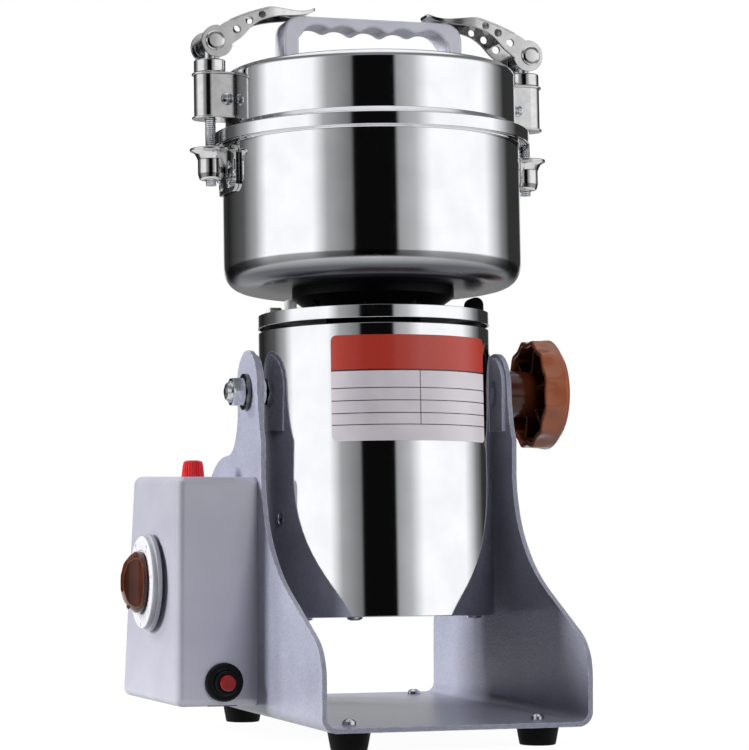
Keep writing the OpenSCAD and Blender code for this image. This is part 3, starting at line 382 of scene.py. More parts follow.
def mottled(name, one, two, blotch, grain, rough, depth, strength=0.5, spread=(0.35, 0.65, 1.0),
            dull="grain", specks=(), worn=None, under=None, more=()):
    """A finish of two close colours in blotches, with a fine grain.

    Blotch, grain and under give the size in mm, the detail and the roughness of their noise,
    and spread is where the second colour begins, where it is full, and how far it covers.
    Rough is one value, or a range that the pattern named by dull runs through. Depth in mm
    and strength are of the grain's relief, which lies over the relief of under. Specks are
    further coats by the grain, worn is (radius, limit, colour) of the edges, and more has
    the shader's other values."""
    finish = new_finish(name)
    tree = finish.tree
    patterns = [add(tree, "TexNoise", {
        "Vector": finish.place, "Scale": 1 / size, "Detail": detail, "Roughness": fine})
        for size, detail, fine in (blotch, grain)]
    layers = [(patterns[0], *spread, two)] + [(patterns[1], *speck) for speck in specks]
    finish.colour = coats(tree, one, *layers)
    if worn:
        radius, limit, colour = worn
        finish.colour = coats(tree, finish.colour, (flatness(tree, radius), 1.0, limit, 1.0, colour))
    if isinstance(rough, tuple):
        rough = add(tree, "MapRange", (patterns[dull == "grain"], 0.3, 0.7, *rough))
    bumps = [(patterns[1], depth, strength)]
    if under:
        size, detail, fine, under_depth, under_strength = under
        bumps.insert(0, (add(tree, "TexNoise", {
            "Vector": finish.place, "Scale": 1 / size, "Detail": detail, "Roughness": fine}),
            under_depth, under_strength))
    fill(finish.shader, {"Base Color": finish.colour, "Roughness": rough,
                         "Normal": relief(tree, *bumps), **dict(more)})
    return finish


def at(x, y, z):
    """A shift in mm."""
    return Matrix.Translation((x, y, z))


on_ground = at(pivot.x, pivot.y, 0.0) @ Matrix.Scale(MM, 4)
foot_places = [(x, y) for x in (-59.5, 59.5) for y in (-127.0, 92.0)]
foot_profile = rounded([
    (0, 1.2, 0), (6, 1.2, 0.3), (7, 0, 0.4), (10.8, 0, 0.9), (11.4, 3, 0), (12.9, 11.2, 0.5),
    (12.9, 12, 0.3), (3.1, 12, 0), (3.1, 4, 0), (0, 4, 0)], 0.5)

# Moulded natural rubber: black, matt and porous, with grey dust in its pores
rubber = mottled("moulded_rubber", "#0e0e0f", "#222121", (9.0, 3.0, 0.5), (0.5, 4.0, 0.7),
                 (0.5, 0.72), 0.05, spread=(0.45, 0.75, 0.5), dull="blotch",
                 more={"Specular IOR Level": 0.08})
feet = joined([(turned(foot_profile, 48), at(x, y, 0)) for x, y in foot_places])
finish_piece("feet", feet, "stand", rubber, "rubber_feet", on_ground)

# Screws
# Zinc-plated pan-head screws with a cross recess. One head is turned and cut with its
# recess for each screw, and put in its place.


def cut(bm, tool, operation="DIFFERENCE", tool_crosses_itself=False):
    """The mesh with the tool taken away from it, or what the two have in common."""
    blank, cutter = put_in("blank", as_mesh("blank", bm)), put_in("tool", as_mesh("tool", tool))
    job = blank.modifiers.new("cut", "BOOLEAN")
    job.object = cutter
    job.operation = operation
    job.solver = "EXACT"
    job.use_self = tool_crosses_itself
    bpy.context.view_layer.update()
    done = bmesh.new()
    done.from_object(blank, bpy.context.evaluated_depsgraph_get())
    for obj in (blank, cutter):
        bpy.data.objects.remove(obj)
    return done


def block(bm, size, place):
    """Adds a block with its middle at a place."""
    verts = bmesh.ops.create_cube(bm, size=1.0)["verts"]
    bmesh.ops.transform(bm, verts=verts, matrix=place @ Matrix.Diagonal((*size, 1)))


def round_bar(bm, radius, length, sides, place):
    """Adds a straight round bar with its middle at a place, along that place's Z."""
    verts = bmesh.ops.create_cone(
        bm, cap_ends=True, segments=sides, radius1=radius, radius2=radius, depth=length)["verts"]
    bmesh.ops.transform(bm, verts=verts, matrix=place)


def cross_head(radius, height, shank, shank_radius):
    """A screw's pan head, standing on z = 0, with a cross cut in it, and a plain shank."""
    head = turned(rounded([
        (0, height, 0), (radius * 0.55, height * 0.97, 0), (radius * 0.93, height * 0.6, 0.3),
        (radius, 0.12, 0.1), (radius, 0, 0.05), (0, 0, 0)], 0.3, 3), 32, loop=False)
    long, narrow, sunk = 1.24 * radius, 0.2 * radius, 0.05
    cross = bmesh.new()
    for size in ((long, narrow, height), (narrow, long, height)):
        block(cross, size, at(0, 0, height * 1.05))
    done = cut(head, cross, tool_crosses_itself=True)
    round_bar(done, shank_radius, shank, 20, at(0, 0, sunk - shank / 2))
    return done


# Bright zinc plating: a faintly blue metal, cloudy where the bath took unevenly and finely
# scratched. Phosphated steel: the same under a dull dark grey coat.
zinc, dark_zinc = (
    mottled(name, one, two, (3.0, 3.0, 0.5), (0.35, 4.0, 0.7), (0.16, 0.34), 0.01,
            more={"Metallic": 1.0})
    for name, one, two in (("zinc_plating", "#d3d6da", "#b9bcc2"),
                           ("phosphated_steel", "#77797d", "#626468")))
foot_screws = joined([
    (cross_head(4.2, 3.4, 10, 2.5), at(x, y, 15.0) @ Matrix.Rotation(0.4 + 0.9 * i, 4, "Z"))
    for i, (x, y) in enumerate(foot_places)])
finish_piece("foot_screw_heads", foot_screws, "stand", zinc, "foot_screws", on_ground)

# Control box
# A steel box on the left upright, sprayed in a fine silver metallic paint. Its outer side
# is twisted: a faint crease runs from the top front corner to the bottom rear one.
box_near, box_far = -24.0, 93.0
box_floor, box_roof = 19.0, 160.0
upright_face = -84.5
front_out, rear_out, flared_out = -135.6, -133.5, -140.5
box_wall, box_depth, fold_radius = 2.5, 46.5, 5.0
boss_inset, boss_heights = 6.5, (69.0, 134.0)
timer_y, timer_z = 28.0, 94.0
lamp_x, lamp_y = -111.45, 28.0
reset_x, reset_z = -106.0, 34.0
gland_x, gland_z = -110.5, 45.0

# Sprayed silver metallic paint: aluminium flakes glint and darken by turns over a faint
# orange peel, and the edges are rubbed bright.
silver_paint = mottled(
    "silver_metallic_paint", "#bcbcca", "#c4c4d1", (40.0, 2.0, 0.5), (0.28, 3.0, 0.75), (0.38, 0.5),
    0.012, specks=((0.52, 0.68, 0.7, "#dcdce6"), (0.48, 0.32, 0.5, "#84848f")),
    worn=(0.7, 0.96, "#c8c8d2"), under=(1.1, 2.0, 0.5, 0.03, 0.5), more={"Metallic": 0.35})


def drawn_out(bm, faces):
    """Extrudes faces, and gives the new vertices for their move."""
    new = bmesh.ops.extrude_face_region(bm, geom=faces)["geom"]
    return [g for g in new if isinstance(g, bmesh.types.BMVert)]


def about(axis, degrees):
    """A turn about an axis."""
    return Matrix.Rotation(math.radians(degrees), 4, axis)


box = bmesh.new()
corners = bmesh.ops.create_cube(box, size=2.0)["verts"]
for v in corners:
    high, back, out = v.co.z > 0, v.co.y > 0, v.co.x < 0
    v.co.z = box_roof if high else box_floor
    v.co.y = box_far if back else box_near
    if out:
        v.co.x = (rear_out if high else flared_out) if back else front_out
    else:
        v.co.x = upright_face
outer = [v for v in corners if v.co.x < upright_face - 1]
crease = [v for v in outer if (v.co.z == box_roof) == (v.co.y == box_near)]
bmesh.ops.connect_verts(box, verts=crease)
box.edges.ensure_lookup_table()
folds = [e for e in box.edges
         if any(v in outer for v in e.verts) and not all(v in crease for v in e.verts)]
bmesh.ops.bevel(box, geom=folds, offset=fold_radius, segments=6, profile=0.5, affect="EDGES",
                clamp_overlap=True, material=-1)
bmesh.ops.recalc_face_normals(box, faces=box.faces)
# The side that stands against the upright is open
open_side = [f for f in box.faces if f.normal.x > 0.99]
bmesh.ops.inset_region(box, faces=open_side, thickness=box_wall, use_even_offset=True)
open_side = [f for f in box.faces if f.normal.x > 0.99 and f.calc_area() > 5000
             and box_near + 10 < f.calc_center_median().y < box_far - 10]
inner_verts = drawn_out(box, open_side)
bmesh.ops.delete(box, geom=open_side, context="FACES")
bmesh.ops.translate(box, vec=(-box_depth, 0, 0), verts=inner_verts)
# Screw bosses stand along the front and rear walls
boss_places = [(y, z) for y in (box_near + boss_inset, box_far - boss_inset) for z in boss_heights]
for y, z in boss_places:
    round_bar(box, 5, 12, 24, at(upright_face - 6, y, z) @ about("Y", 90))
# Holes for the overload switch, the gland, the timer's shaft and the lamp's neck
bores = bmesh.new()
for radius, spot, turn in (
        (8.5, (reset_x, box_near + 4, reset_z), about("X", 90)),
        (7.6, (gland_x, box_far - 4, gland_z), about("X", 90)),
        (4.2, (-138.0, timer_y, timer_z), about("Y", 90)),
        (6.2, (lamp_x, lamp_y, box_roof - 4), Matrix())):
    round_bar(bores, radius, 12, 48, at(*spot) @ turn)
finish_piece("control_box_shell", cut(box, bores), "stand", silver_paint,
             "control_box", on_ground, 30)

box_screws = joined([(cross_head(4.0, 1.8, 12, 2), at(-81.5, y, z) @ about("Y", 90))
                     for y, z in boss_places])
finish_piece("box_screw_heads", box_screws, "stand", zinc, "box_screws", on_ground)

# Dial
# A moulded ABS ring in silver-white lacquer, in two steps, pressed on to the box. Printed
# round it are the minutes, as plain ticks and numbers.
seat, face = 139.1, 145.1
at_timer = on_ground @ at(0, timer_y, timer_z) @ about("Y", -90)
printed_face = pivot.x / MM - face
dial_start, tick_step, ticks, number_step = -150, 10, 31, 50

# Silver-white lacquer on ABS: bright and smooth, a little hazy, and painted greyer down its steps, a
# painted shade
white_lacquer = mottled(
    "silver_white_lacquer", "#e6e6ea", "#dcdce2", (12.0, 2.0, 0.5), (0.3, 2.0, 0.5), (0.26, 0.36),
    0.006, 0.4, spread=(0.3, 0.7, 1.0), dull="blotch", more={"Coat Weight": 0.3})
tree, place = white_lacquer.tree, white_lacquer.place
# Painted shade: beyond the printed face, down the steps, the colour is greyer
across = add(tree, "SeparateXYZ", (place,)).outputs["X"]
fill(white_lacquer.shader, {"Base Color": coats(tree, white_lacquer.colour, (
    across, printed_face + 0.4, printed_face + 1.2, 1.0, "#a9a9b2"))})
# Pad-printed ink: near black, with a slight grain
black_print = mottled("black_print", "#1c1c20", "#2a2a30", (0.4, 2.0, 0.5), (0.4, 2.0, 0.5), 0.45,
                      0.004, 0.4, spread=(0.3, 0.7, 1.0))

dial_profile = rounded([
    (3.6, seat), (30.5, seat), (30.5, seat + 2.7), (29.2, seat + 2.9, 0.2), (29.0, seat + 3.6, 0.2),
    (28.6, face), (20.6, face), (19.9, face - 0.8), (3.6, face - 0.8)], 0.7, 4)
finish_piece("dial_ring", turned(dial_profile, 96), "stand", white_lacquer,
             "dial_plate", at_timer)

marks = bmesh.new()
for i in range(ticks):
    out, length = (22.4, 2.2) if i % 5 == 0 else (21.9, 1.2)
    block(marks, (length, 0.42, 0.06),
          about("Z", -dial_start - tick_step * i) @ at(-out, 0, face + 0.01))
finish_piece("dial_ticks", marks, "stand", black_print, None, at_timer)

numerals = []
for i in range(7):
    text = bpy.data.curves.new("numeral", "FONT")
    text.body = str(i)
    text.size = 3.6
    text.extrude = 0.03
    text.align_x = "CENTER"
    text.align_y = "CENTER"
    holder = put_in("numeral", text)
    bpy.context.view_layer.update()
    numeral = bmesh.new()
    numeral.from_mesh(holder.to_mesh())
    holder.to_mesh_clear()
    bpy.data.objects.remove(holder)
    bpy.data.curves.remove(text)
    bmesh.ops.remove_doubles(numeral, verts=numeral.verts, dist=1e-4)
    turn = dial_start + number_step * i
    numerals.append((numeral, about("Z", -turn) @ at(-26.0, 0, face + 0.01)
                     @ about("Z", turn) @ about("Z", 90)))
finish_piece("dial_numbers", joined(numerals), "stand", black_print, None, at_timer)

# Timer knob
# A phenolic moulding: a round skirt with one grip ridge across it, hollowed on both sides,
# and a small nub that points at the minutes. It is pushed on the timer's shaft.
knob_foot, knob_radius, knob_rise = face + 0.4, 19.25, 12.0
# Where the star knob's rim is painted paler, as painted light with some rubbing: its span along the
# axis from the pivot, and its radii, in mm
star_rim, lit_rim_radii = (100, 105), (29.0, 32.5)

# Brown phenolic: pressed hot in a polished mould, so glossy, with swirls of filler. Its edges
# are painted paler, a painted highlight, and round the rim of the star knob, which is held by
# hand, it is painted paler as painted light from the side, with some rubbing.
brown_phenolic = new_finish("brown_phenolic")
tree, place = brown_phenolic.tree, brown_phenolic.place
swirl, mould, fine = (add(tree, "TexNoise", {"Vector": place, "Scale": 1 / size, "Detail": 3.0})
                      for size in (16.0, 1.6, 0.4))
across = add(tree, "SeparateXYZ", (place,)).outputs["X"]
beside = add(tree, "VectorMath", (place, (0, 1, 1)), operation="MULTIPLY")
off_axis = add(tree, "VectorMath", (beside, (0, pivot.y / MM, pivot.z / MM)), operation="DISTANCE")
# Painted light: the star knob's outer rim is made paler where light falls on it, with some rubbing
rubbed_and_lit_rim = add(tree, "Math", (
    add(tree, "MapRange", (across, *(pivot.x / MM + x for x in star_rim))),
    add(tree, "MapRange", (off_axis, *lit_rim_radii))), operation="MULTIPLY")
body_colour = add(tree, "Mix", {
    0: rubbed_and_lit_rim, 6: coats(tree, "#3c180d", (swirl, 0.35, 0.65, 1.0, "#4a2113")), 7: "#a65f40"},
    data_type="RGBA")
fill(brown_phenolic.shader, {
    # Painted highlight: the rounded edges are made paler
    "Base Color": coats(tree, body_colour, (flatness(tree, 0.6), 1.0, 0.94, 1.0, "#a9612f")),
    "Specular IOR Level": 0.35, "Roughness": add(tree, "MapRange", (mould, 0.3, 0.7, 0.1, 0.2)),
    "Normal": relief(tree, (mould, 0.02, 0.4), (fine, 0.004, 0.4))})

knob = turned(rounded([
    (0, knob_rise, 0), (6, knob_rise - 0.4, 4), (13, knob_rise - 2.6, 6), (17.4, knob_rise - 6.5, 5),
    (knob_radius, 3.2, 1), (knob_radius, 0, 0.5), (16, 0, 0.4), (15, 1.6, 0.4), (0, 1.6, 0)],
    1.0, 5), 96, loop=False)
scoops = bmesh.new()
for side in (-1, 1):
    round_bar(scoops, 13.6, 60, 64, at(0, side * 16.6, 16.4) @ about("Y", 90))
knob = cut(knob, scoops)
bmesh.ops.remove_doubles(knob, verts=knob.verts, dist=0.01)
soften(knob, 0.5, 28, 3)
nub = bmesh.ops.create_uvsphere(knob, u_segments=20, v_segments=12, radius=1.7)["verts"]
bmesh.ops.transform(knob, verts=nub, matrix=at(-14.6, 0, 7.6) @ Matrix.Diagonal((1.3, 0.8, 0.7, 1)))
finish_piece("timer_grip", knob, "timer", brown_phenolic, "timer_knob",
             at_timer @ at(0, 0, knob_foot), smooth=50)

spindle = turned([(0, seat - 6.9), (3.0, seat - 6.9), (3.0, face + 8), (2.6, face + 8.4),
                  (0, face + 8.4)], 32, loop=False)
finish_piece("timer_spindle", spindle, "timer", zinc, "timer_shaft", at_timer)

# Pilot lamp
# A pressed acrylic cap on the box's top, in a black ring, with fine flutes round it that
# spread the light of the neon behind it.
lamp_radius, lamp_rise, flutes, flute_depth = 7.3, 10.5, 24, 0.42


def dented(bm, dent):
    """Moves the points of a turned body inwards, by dent(radius, heading, height)."""
    for v in bm.verts:
        out = math.hypot(v.co.x, v.co.y)
        if out > 0:
            v.co.xy *= (out - dent(out, math.atan2(v.co.y, v.co.x), v.co.z)) / out
    return bm


# Pressed red acrylic: clear and glossy, with a deep red body that lets some light through
red_acrylic = mottled(
    "red_acrylic", "#d60c16", "#e2161f", (5.0, 2.0, 0.5), (0.9, 2.0, 0.5), 0.06, 0.02, 0.3,
    more={"IOR": 1.49, "Transmission Weight": 0.3, "Emission Color": "#e01018",
          "Emission Strength": 0.05, "Subsurface Weight": 0.3,
          "Subsurface Radius": (1.0, 0.2, 0.1), "Subsurface Scale": 2 * MM})
lens = turned(rounded([
    (0, lamp_rise, 0), (3.6, lamp_rise - 0.2, 1), (5.9, lamp_rise - 0.9, 1.2),
    (6.5, lamp_rise - 3.4, 0.5), (lamp_radius, 0, 0.2), (5.6, 0, 0.1), (4.6, lamp_rise - 2.2, 0.8),
    (0, lamp_rise - 2.0, 0)], 0.6, 4), flutes * 8, loop=False)
dented(lens, lambda out, turn, z: flute_depth * (1 - abs(math.sin(flutes / 2 * turn)))
       * min(1, (lamp_rise - z) / 1.2) if out > 4.9 and z > 0.2 else 0)
finish_piece("lamp_cap", lens, "stand", red_acrylic, "lamp_lens",
             on_ground @ at(lamp_x, lamp_y, box_roof), 50)

# Overload switch
# A black nylon collar with a knurled edge, screwed on to the box's front, and the sprung
# red button that is pushed in to reset the motor after an overload.
breaker_at = on_ground @ at(reset_x, box_near, reset_z) @ about("X", 90)

# Moulded black nylon: a deep black with a soft sheen, paler on its edges
black_nylon = mottled(
    "black_nylon", "#0a0a0b", "#131415", (2.5, 3.0, 0.5), (0.25, 3.0, 0.6), (0.28, 0.42), 0.012,
    spread=(0.35, 0.7, 1.0), dull="blotch", worn=(0.4, 0.96, "#303236"),
    more={"Specular IOR Level": 0.12})
collar = turned(rounded([
    (12, 0, 0.1), (12, 2.2, 0.5), (11.2, 3.0, 0.3), (8.6, 3.0, 0.2), (7.9, 3.5, 0.2), (7.5, 4.2, 0),
    (7.5, 8, 0.5), (5.4, 8, 0.3), (5.4, 1, 0), (5.4, 0, 0)], 0.4, 3), 120)
dented(collar, lambda out, turn, z: 0.22 * (0.5 - 0.5 * math.cos(30 * turn))
       if out > 11.5 and z > 0.1 else 0)
inner_body = bmesh.new()
block(inner_body, (20, 30, 22), at(0, 0, -13.6))
soften(inner_body, 0.8)
for x in (-5, 5):
    block(inner_body, (0.8, 6.3, 0.8), at(x, 0, -24.2))
finish_piece("overload_collar", joined([collar, inner_body]), "stand",
             black_nylon, "breaker_body", breaker_at)

# Moulded red ABS: an even dark red, half glossy
red_cap = mottled("red_abs", "#8e0a0e", "#9c1014", (3.0, 2.0, 0.5), (0.3, 2.0, 0.5), 0.34, 0.008, 0.4)
button = turned(rounded([
    (0, 10.7, 0), (3.6, 11, 0.3), (4.6, 10.9, 0.8), (5.0, 9.8, 0.4), (5.0, 1, 0), (0, 1, 0)],
    0.4, 4), 48, loop=False)
finish_piece("reset_cap", button, "reset", red_cap, "reset_button", breaker_at)

# Motor housing
# A drawn and rolled tube of stainless steel, polished on a lathe. Its lower edge is turned
# to a bright lip.
lean = 2.9
on_axis = Matrix.Translation(pivot) @ Matrix.Scale(MM, 4)
tilt = Matrix.Translation(pivot) @ about("X", -lean) @ Matrix.Scale(MM, 4)
housing_radius, housing_wall = 73.5, 1.2


def ring(inner, outer, low, high, radius=0.35, steps=3, sides=256):
    """A turned ring with its four corners rounded."""
    return turned(rounded([(inner, low), (outer, low), (outer, high), (inner, high)],
                          radius, steps), sides)


def lathe_polished(name, dark_base_heights=None):
    """Stainless steel polished on a lathe: a mirror with fine rings about the motor's axis,
    and faint clouds. The rings are made coarser than real ones, so that they show.

    Between two given heights the polish ends: below them the surface is duller, and its
    colour is painted dark, a painted dark reflection."""
    # The third colour is painted dark: a painted dark reflection for the bowl's base, not the steel's
    # own colour
    bright, shade, painted_dark_base = "#e2e3e6", "#dadbde", "#5c5d62"
    mirror_rough, line_rough, drawn_rough = 0.04, 0.02, 0.2
    rings_per_mm, along_ring, line_depth = 4.0, (2.2, 2.2, 0), 0.003
    finish = new_finish(name)
    tree, place = finish.tree, finish.place
    centred = add(tree, "VectorMath", (place, tuple(c / MM for c in pivot)), operation="SUBTRACT")
    upright = add(tree, "Mapping", {"Vector": centred, "Rotation": (math.radians(lean), 0, 0)})
    flat = add(tree, "VectorMath", (upright, (1, 1, 0)), operation="MULTIPLY")
    height = add(tree, "SeparateXYZ", (upright,)).outputs["Z"]
    up = add(tree, "CombineXYZ", {
        "Z": add(tree, "Math", (height, rings_per_mm), operation="MULTIPLY")})
    round_axis = add(tree, "VectorMath", (
        add(tree, "VectorMath", (flat,), operation="NORMALIZE"), along_ring, up),
        operation="MULTIPLY_ADD")
    outwards = add(tree, "Math", (
        add(tree, "VectorMath", (flat,), operation="LENGTH"), rings_per_mm), operation="MULTIPLY")
    lines = add(tree, "TexNoise", {
        "Vector": round_axis, "W": outwards, "Scale": 1.0, "Detail": 4.0, "Roughness": 0.7},
        noise_dimensions="4D")
    clouds = add(tree, "TexNoise", {"Vector": place, "Scale": 1 / 22.0})
    smears = add(tree, "TexNoise", {"Vector": place, "Scale": 1 / 6.0, "Detail": 3.0})
    tone = coats(tree, bright, (clouds, 0.35, 0.65, 1.0, shade), (lines, 0.3, 0.7, 0.3, shade))
    rough = add(tree, "Math", [add(tree, "MapRange", (pattern, 0.3, 0.7, 0.0, line_rough))
                               for pattern in (lines, smears)], operation="ADD")
    rough = add(tree, "Math", (rough, mirror_rough), operation="ADD")
    # Below the given heights the surface is duller, and its colour is painted dark as a painted dark
    # reflection
    if dark_base_heights:
        dull_dark_base = add(tree, "MapRange", (height, *dark_base_heights))
        tone = add(tree, "Mix", {0: dull_dark_base, 6: tone, 7: painted_dark_base}, data_type="RGBA")
        rough = add(tree, "Math", (dull_dark_base, drawn_rough, rough), operation="MULTIPLY_ADD")
    fill(finish.shader, {"Base Color": tone, "Metallic": 1.0, "Roughness": rough,
                         "Normal": relief(tree, (lines, line_depth, 0.35))})
    return finish


steel = lathe_polished("lathe_polished_stainless")
housing = ring(housing_radius - housing_wall, housing_radius, -141.5, 38)
finish_piece("motor_tube", housing, "motor", steel, "motor_housing", tilt)

# Band and cover
# Over a dark gap stands a band of the same steel, and in it lies a grey painted cover with
# two pale plastic posts and a black rubber stop.
cover_top = 49.2
band = ring(housing_radius - housing_wall, housing_radius, 41.2, cover_top)
finish_piece("steel_band", band, "motor", steel, "top_band", tilt)

# Grey powder coat: matt, with a fine orange peel
grey_paint = mottled("grey_powder_coat", "#55565b", "#606167", (14.0, 2.0, 0.5), (0.8, 3.0, 0.5),
                     (0.42, 0.56), 0.04)
cover = ring(30.1, housing_radius - 1.25, cover_top - 1.5, cover_top, 0.3, 2, 128)
finish_piece("cover_plate", cover, "motor", grey_paint, "top_cover", tilt)

# Undyed moulded nylon: a warm white, rather matt
pale_plastic = mottled("pale_nylon", "#dcdcd8", "#cfcfca", (5.0, 2.0, 0.5), (0.4, 2.0, 0.5),
                       (0.4, 0.52), 0.01, 0.4)
post = turned(rounded([(0, 7, 0), (2.2, 7, 0.4), (4, 6.4, 1), (4, 0, 0.2), (0, 0, 0)], 0.4, 3),
              40, loop=False)
tab = bmesh.new()
block(tab, (8, 10, 4), at(2, 0, 2))
soften(tab, 1.0, 30, 3)
on_cover = at(housing_radius - housing_wall - 9.3, 0, cover_top + 0.05)
posts = joined([(post, about("Z", -164) @ on_cover), (tab, about("Z", 177) @ on_cover)])
finish_piece("pale_posts", posts, "motor", pale_plastic, "cover_posts", tilt)

stop = bmesh.new()
block(stop, (10, 12, 11.9), at(housing_radius - 7, 0, 55.2))
top_edges = [e for e in stop.edges if all(v.co.z > 60 for v in e.verts)
             and abs(e.verts[0].co.x - e.verts[1].co.x) < 0.1]
bmesh.ops.bevel(stop, geom=top_edges, offset=4.6, segments=8, profile=0.5, affect="EDGES",
                material=-1)
soften(stop, 0.7)
finish_piece("rubber_stop", stop, "motor", rubber, "stop_block", tilt @ about("Z", -5))

# Bowl adapter
# A black moulded cone that carries the bowl on the motor, with screws up through its flange.
# It is of the same nylon as the overload switch.
finish_piece("bowl_flange", soften(cad_copy("bowl_adapter"), 0.4 * MM, 30), "motor",
             black_nylon, "bowl_adapter")

# Bowl
# A deep-drawn stainless bowl with a rounded bottom and a rolled rim. Its lowest part was
# never polished, so it is duller, and its colour there is painted dark as a painted dark reflection.
bowl_profile = rounded([
    (16.1, 65, 0), (95, 65, 18), (95, 156, 1.2), (99.5, 156, 0.5), (99.5, 158, 0.5),
    (93.4, 158, 0.9), (93.4, 66.6, 16.4), (16.1, 66.6, 0)], 0.5, 8)
# Below 71 to 80 mm the bowl is duller and painted dark, a painted dark reflection
bowl_steel = lathe_polished("stainless_painted_dark_base", dark_base_heights=(80.0, 71.0))
finish_piece("bowl_shell", turned(bowl_profile, 256), "motor", bowl_steel, "bowl", tilt)

# Lid
# Pressed from stainless sheet: a skirt over the bowl's rim, a narrow flare, the wall and a
# low dome, polished like the bowl.
lid_radius, lid_sheet, wall_bottom, wall_top, dome_rise = 93.0, 1.2, 167.0, 203.7, 7.0
dome_edge = lid_radius - 5.0
dome_sphere = (dome_edge ** 2 + dome_rise ** 2) / (2 * dome_rise)


def dome_height(radius, inset=0.0):
    """Height of the dome at a distance from the axis."""
    return wall_top + dome_rise - dome_sphere + math.sqrt((dome_sphere - inset) ** 2 - radius ** 2)


def lid_curve(inset):
    """The lid's section from its skirt to its middle, moved inwards by an inset."""
    wall = [(101.5 - inset, 156.2, 0), (101.5 - inset, 164.2 - inset, 1.0),
            (95.8 - inset, 165.4 - inset, 1.0), (lid_radius - inset, wall_bottom + 1, 0.8),
            (lid_radius - inset, dome_height(dome_edge, inset) + 0.2, 5 - inset)]
    dome = [(dome_edge * t, dome_height(dome_edge * t, inset), 0)
            for t in (0.93, 0.8, 0.65, 0.5, 0.35, 0.2, 0.1, 0)]
    return rounded(wall + dome, 0.8, 7)


finish_piece("lid_pressing", turned(lid_curve(0) + lid_curve(lid_sheet)[::-1], 256), "lid",
             steel, "lid_shell", tilt)

# Label
# A laminated sticker bent round the housing: a red header over a blank ruled table. Nothing
# is written on it.
label_radius, label_sheet, label_low, label_high = 73.84, 0.3, -34.5, 30.5
label_turn, label_half, label_corner = math.radians(-86), 73.85 * math.radians(44), 3.5
header_end, table_lines, table_middle, thin_line = 21.4, (32.6, 40.3, 48.0, 55.1), -0.8, 0.28


def curved_sheet(radius, thick, turn, half_width, low, high, corner, rows=8):
    """A sheet with rounded corners, bent round the upright axis. Its UV map is in mm."""
    bm = bmesh.new()
    flat = bm.loops.layers.uv.new("UVMap")
    ends = [half_width - corner + corner * math.sin(math.radians(15 * k)) for k in range(7)]
    inside = [(half_width - corner) * (k / 20 - 1) for k in range(1, 40)]
    columns, spots = [], {}
    for u in [-e for e in reversed(ends)] + inside + ends:
        over = max(0.0, abs(u) - (half_width - corner))
        reach = (high - low) / 2 - corner + math.sqrt(max(0.0, corner ** 2 - over ** 2))
        heading = turn + u / radius
        columns.append([])
        for k in range(rows + 1):
            z = (low + high) / 2 + reach * (2 * k / rows - 1)
            vert = bm.verts.new((radius * math.cos(heading), radius * math.sin(heading), z))
            spots[vert] = (u, high - z)
            columns[-1].append(vert)
    for one, two in zip(columns, columns[1:]):
        for k in range(rows):
            bm.faces.new((one[k], two[k], two[k + 1], one[k + 1]))
    for f in bm.faces:
        for loop in f.loops:
            loop[flat].uv = spots[loop.vert]
    shrink = 1 - thick / radius
    bmesh.ops.scale(bm, vec=(shrink, shrink, 1), verts=drawn_out(bm, bm.faces[:]))
    bmesh.ops.recalc_face_normals(bm, faces=bm.faces)
    return bm


# Laminated printed film: flat even colours under a clear gloss that waves a little. Its
# pattern follows the sheet's own map, across and down in mm.
printed_film = new_finish("printed_label")
tree, place = printed_film.tree, printed_film.place
along, down = add(tree, "SeparateXYZ", (add(tree, "UVMap", uv_map="UVMap"),)).outputs[:2]
paper_tone, ink_tone, waves = (add(tree, "TexNoise", {"Vector": place, "Scale": 1 / size})
                               for size in (18.0, 0.5, 7.0))
paper = coats(tree, "#e3dde3", (paper_tone, 0.35, 0.65, 1.0, "#dbd4dc"))
red_ink = coats(tree, "#b73a2e", (ink_tone, 0.35, 0.65, 1.0, "#bd4438"))
in_header = add(tree, "Math", (down, header_end), operation="LESS_THAN")
film = add(tree, "Mix", {0: in_header, 6: paper, 7: red_ink}, data_type="RGBA")
ruled = add(tree, "Math", (down, header_end + 0.3, 0.45), operation="COMPARE")
for line in table_lines:
    rule = add(tree, "Math", (down, line, thin_line), operation="COMPARE")
    ruled = add(tree, "Math", (ruled, rule), operation="MAXIMUM")
divider = add(tree, "Math", (along, table_middle, thin_line), operation="COMPARE")
in_table = add(tree, "Math", (
    down, (header_end + table_lines[-1]) / 2, (table_lines[-1] - header_end) / 2),
    operation="COMPARE")
divider = add(tree, "Math", (divider, in_table), operation="MULTIPLY")
ruled = add(tree, "Math", (ruled, divider), operation="MAXIMUM")
fill(printed_film.shader, {
    "Base Color": add(tree, "Mix", {0: ruled, 6: film, 7: "#252226"}, data_type="RGBA"),
    "Roughness": add(tree, "MapRange", (ink_tone, 0.3, 0.7, 0.12, 0.18)),
    "Normal": relief(tree, (waves, 0.02, 0.3))})
label = curved_sheet(label_radius, label_sheet, label_turn, label_half, label_low, label_high,
                     label_corner)
finish_piece("label_film", label, "motor", printed_film, "rating_label", tilt)

# Motor base
# The vented steel plate that closes the housing from below, with its three screws. The
# bowl's four screws come up through the black flange.
finish_piece("vented_plate", soften(cad_copy("motor_base"), 0.3 * MM), "motor",
             grey_paint, "motor_base")
places = [(64, -2 + 120 * i, -141.6, 4.9, 2.0, 2.0) for i in range(3)]
places += [(44, 20 + 90 * i, 60.1, 2.9, 1.8, 1.5) for i in range(4)]
motor_screws = joined([
    (cross_head(head, rise, 8, shank), about("Z", turn) @ at(out, 0, z) @ about("X", 180))
    for out, turn, z, head, rise, shank in places])
finish_piece("motor_screw_heads", motor_screws, "motor", zinc, "housing_screws", tilt)

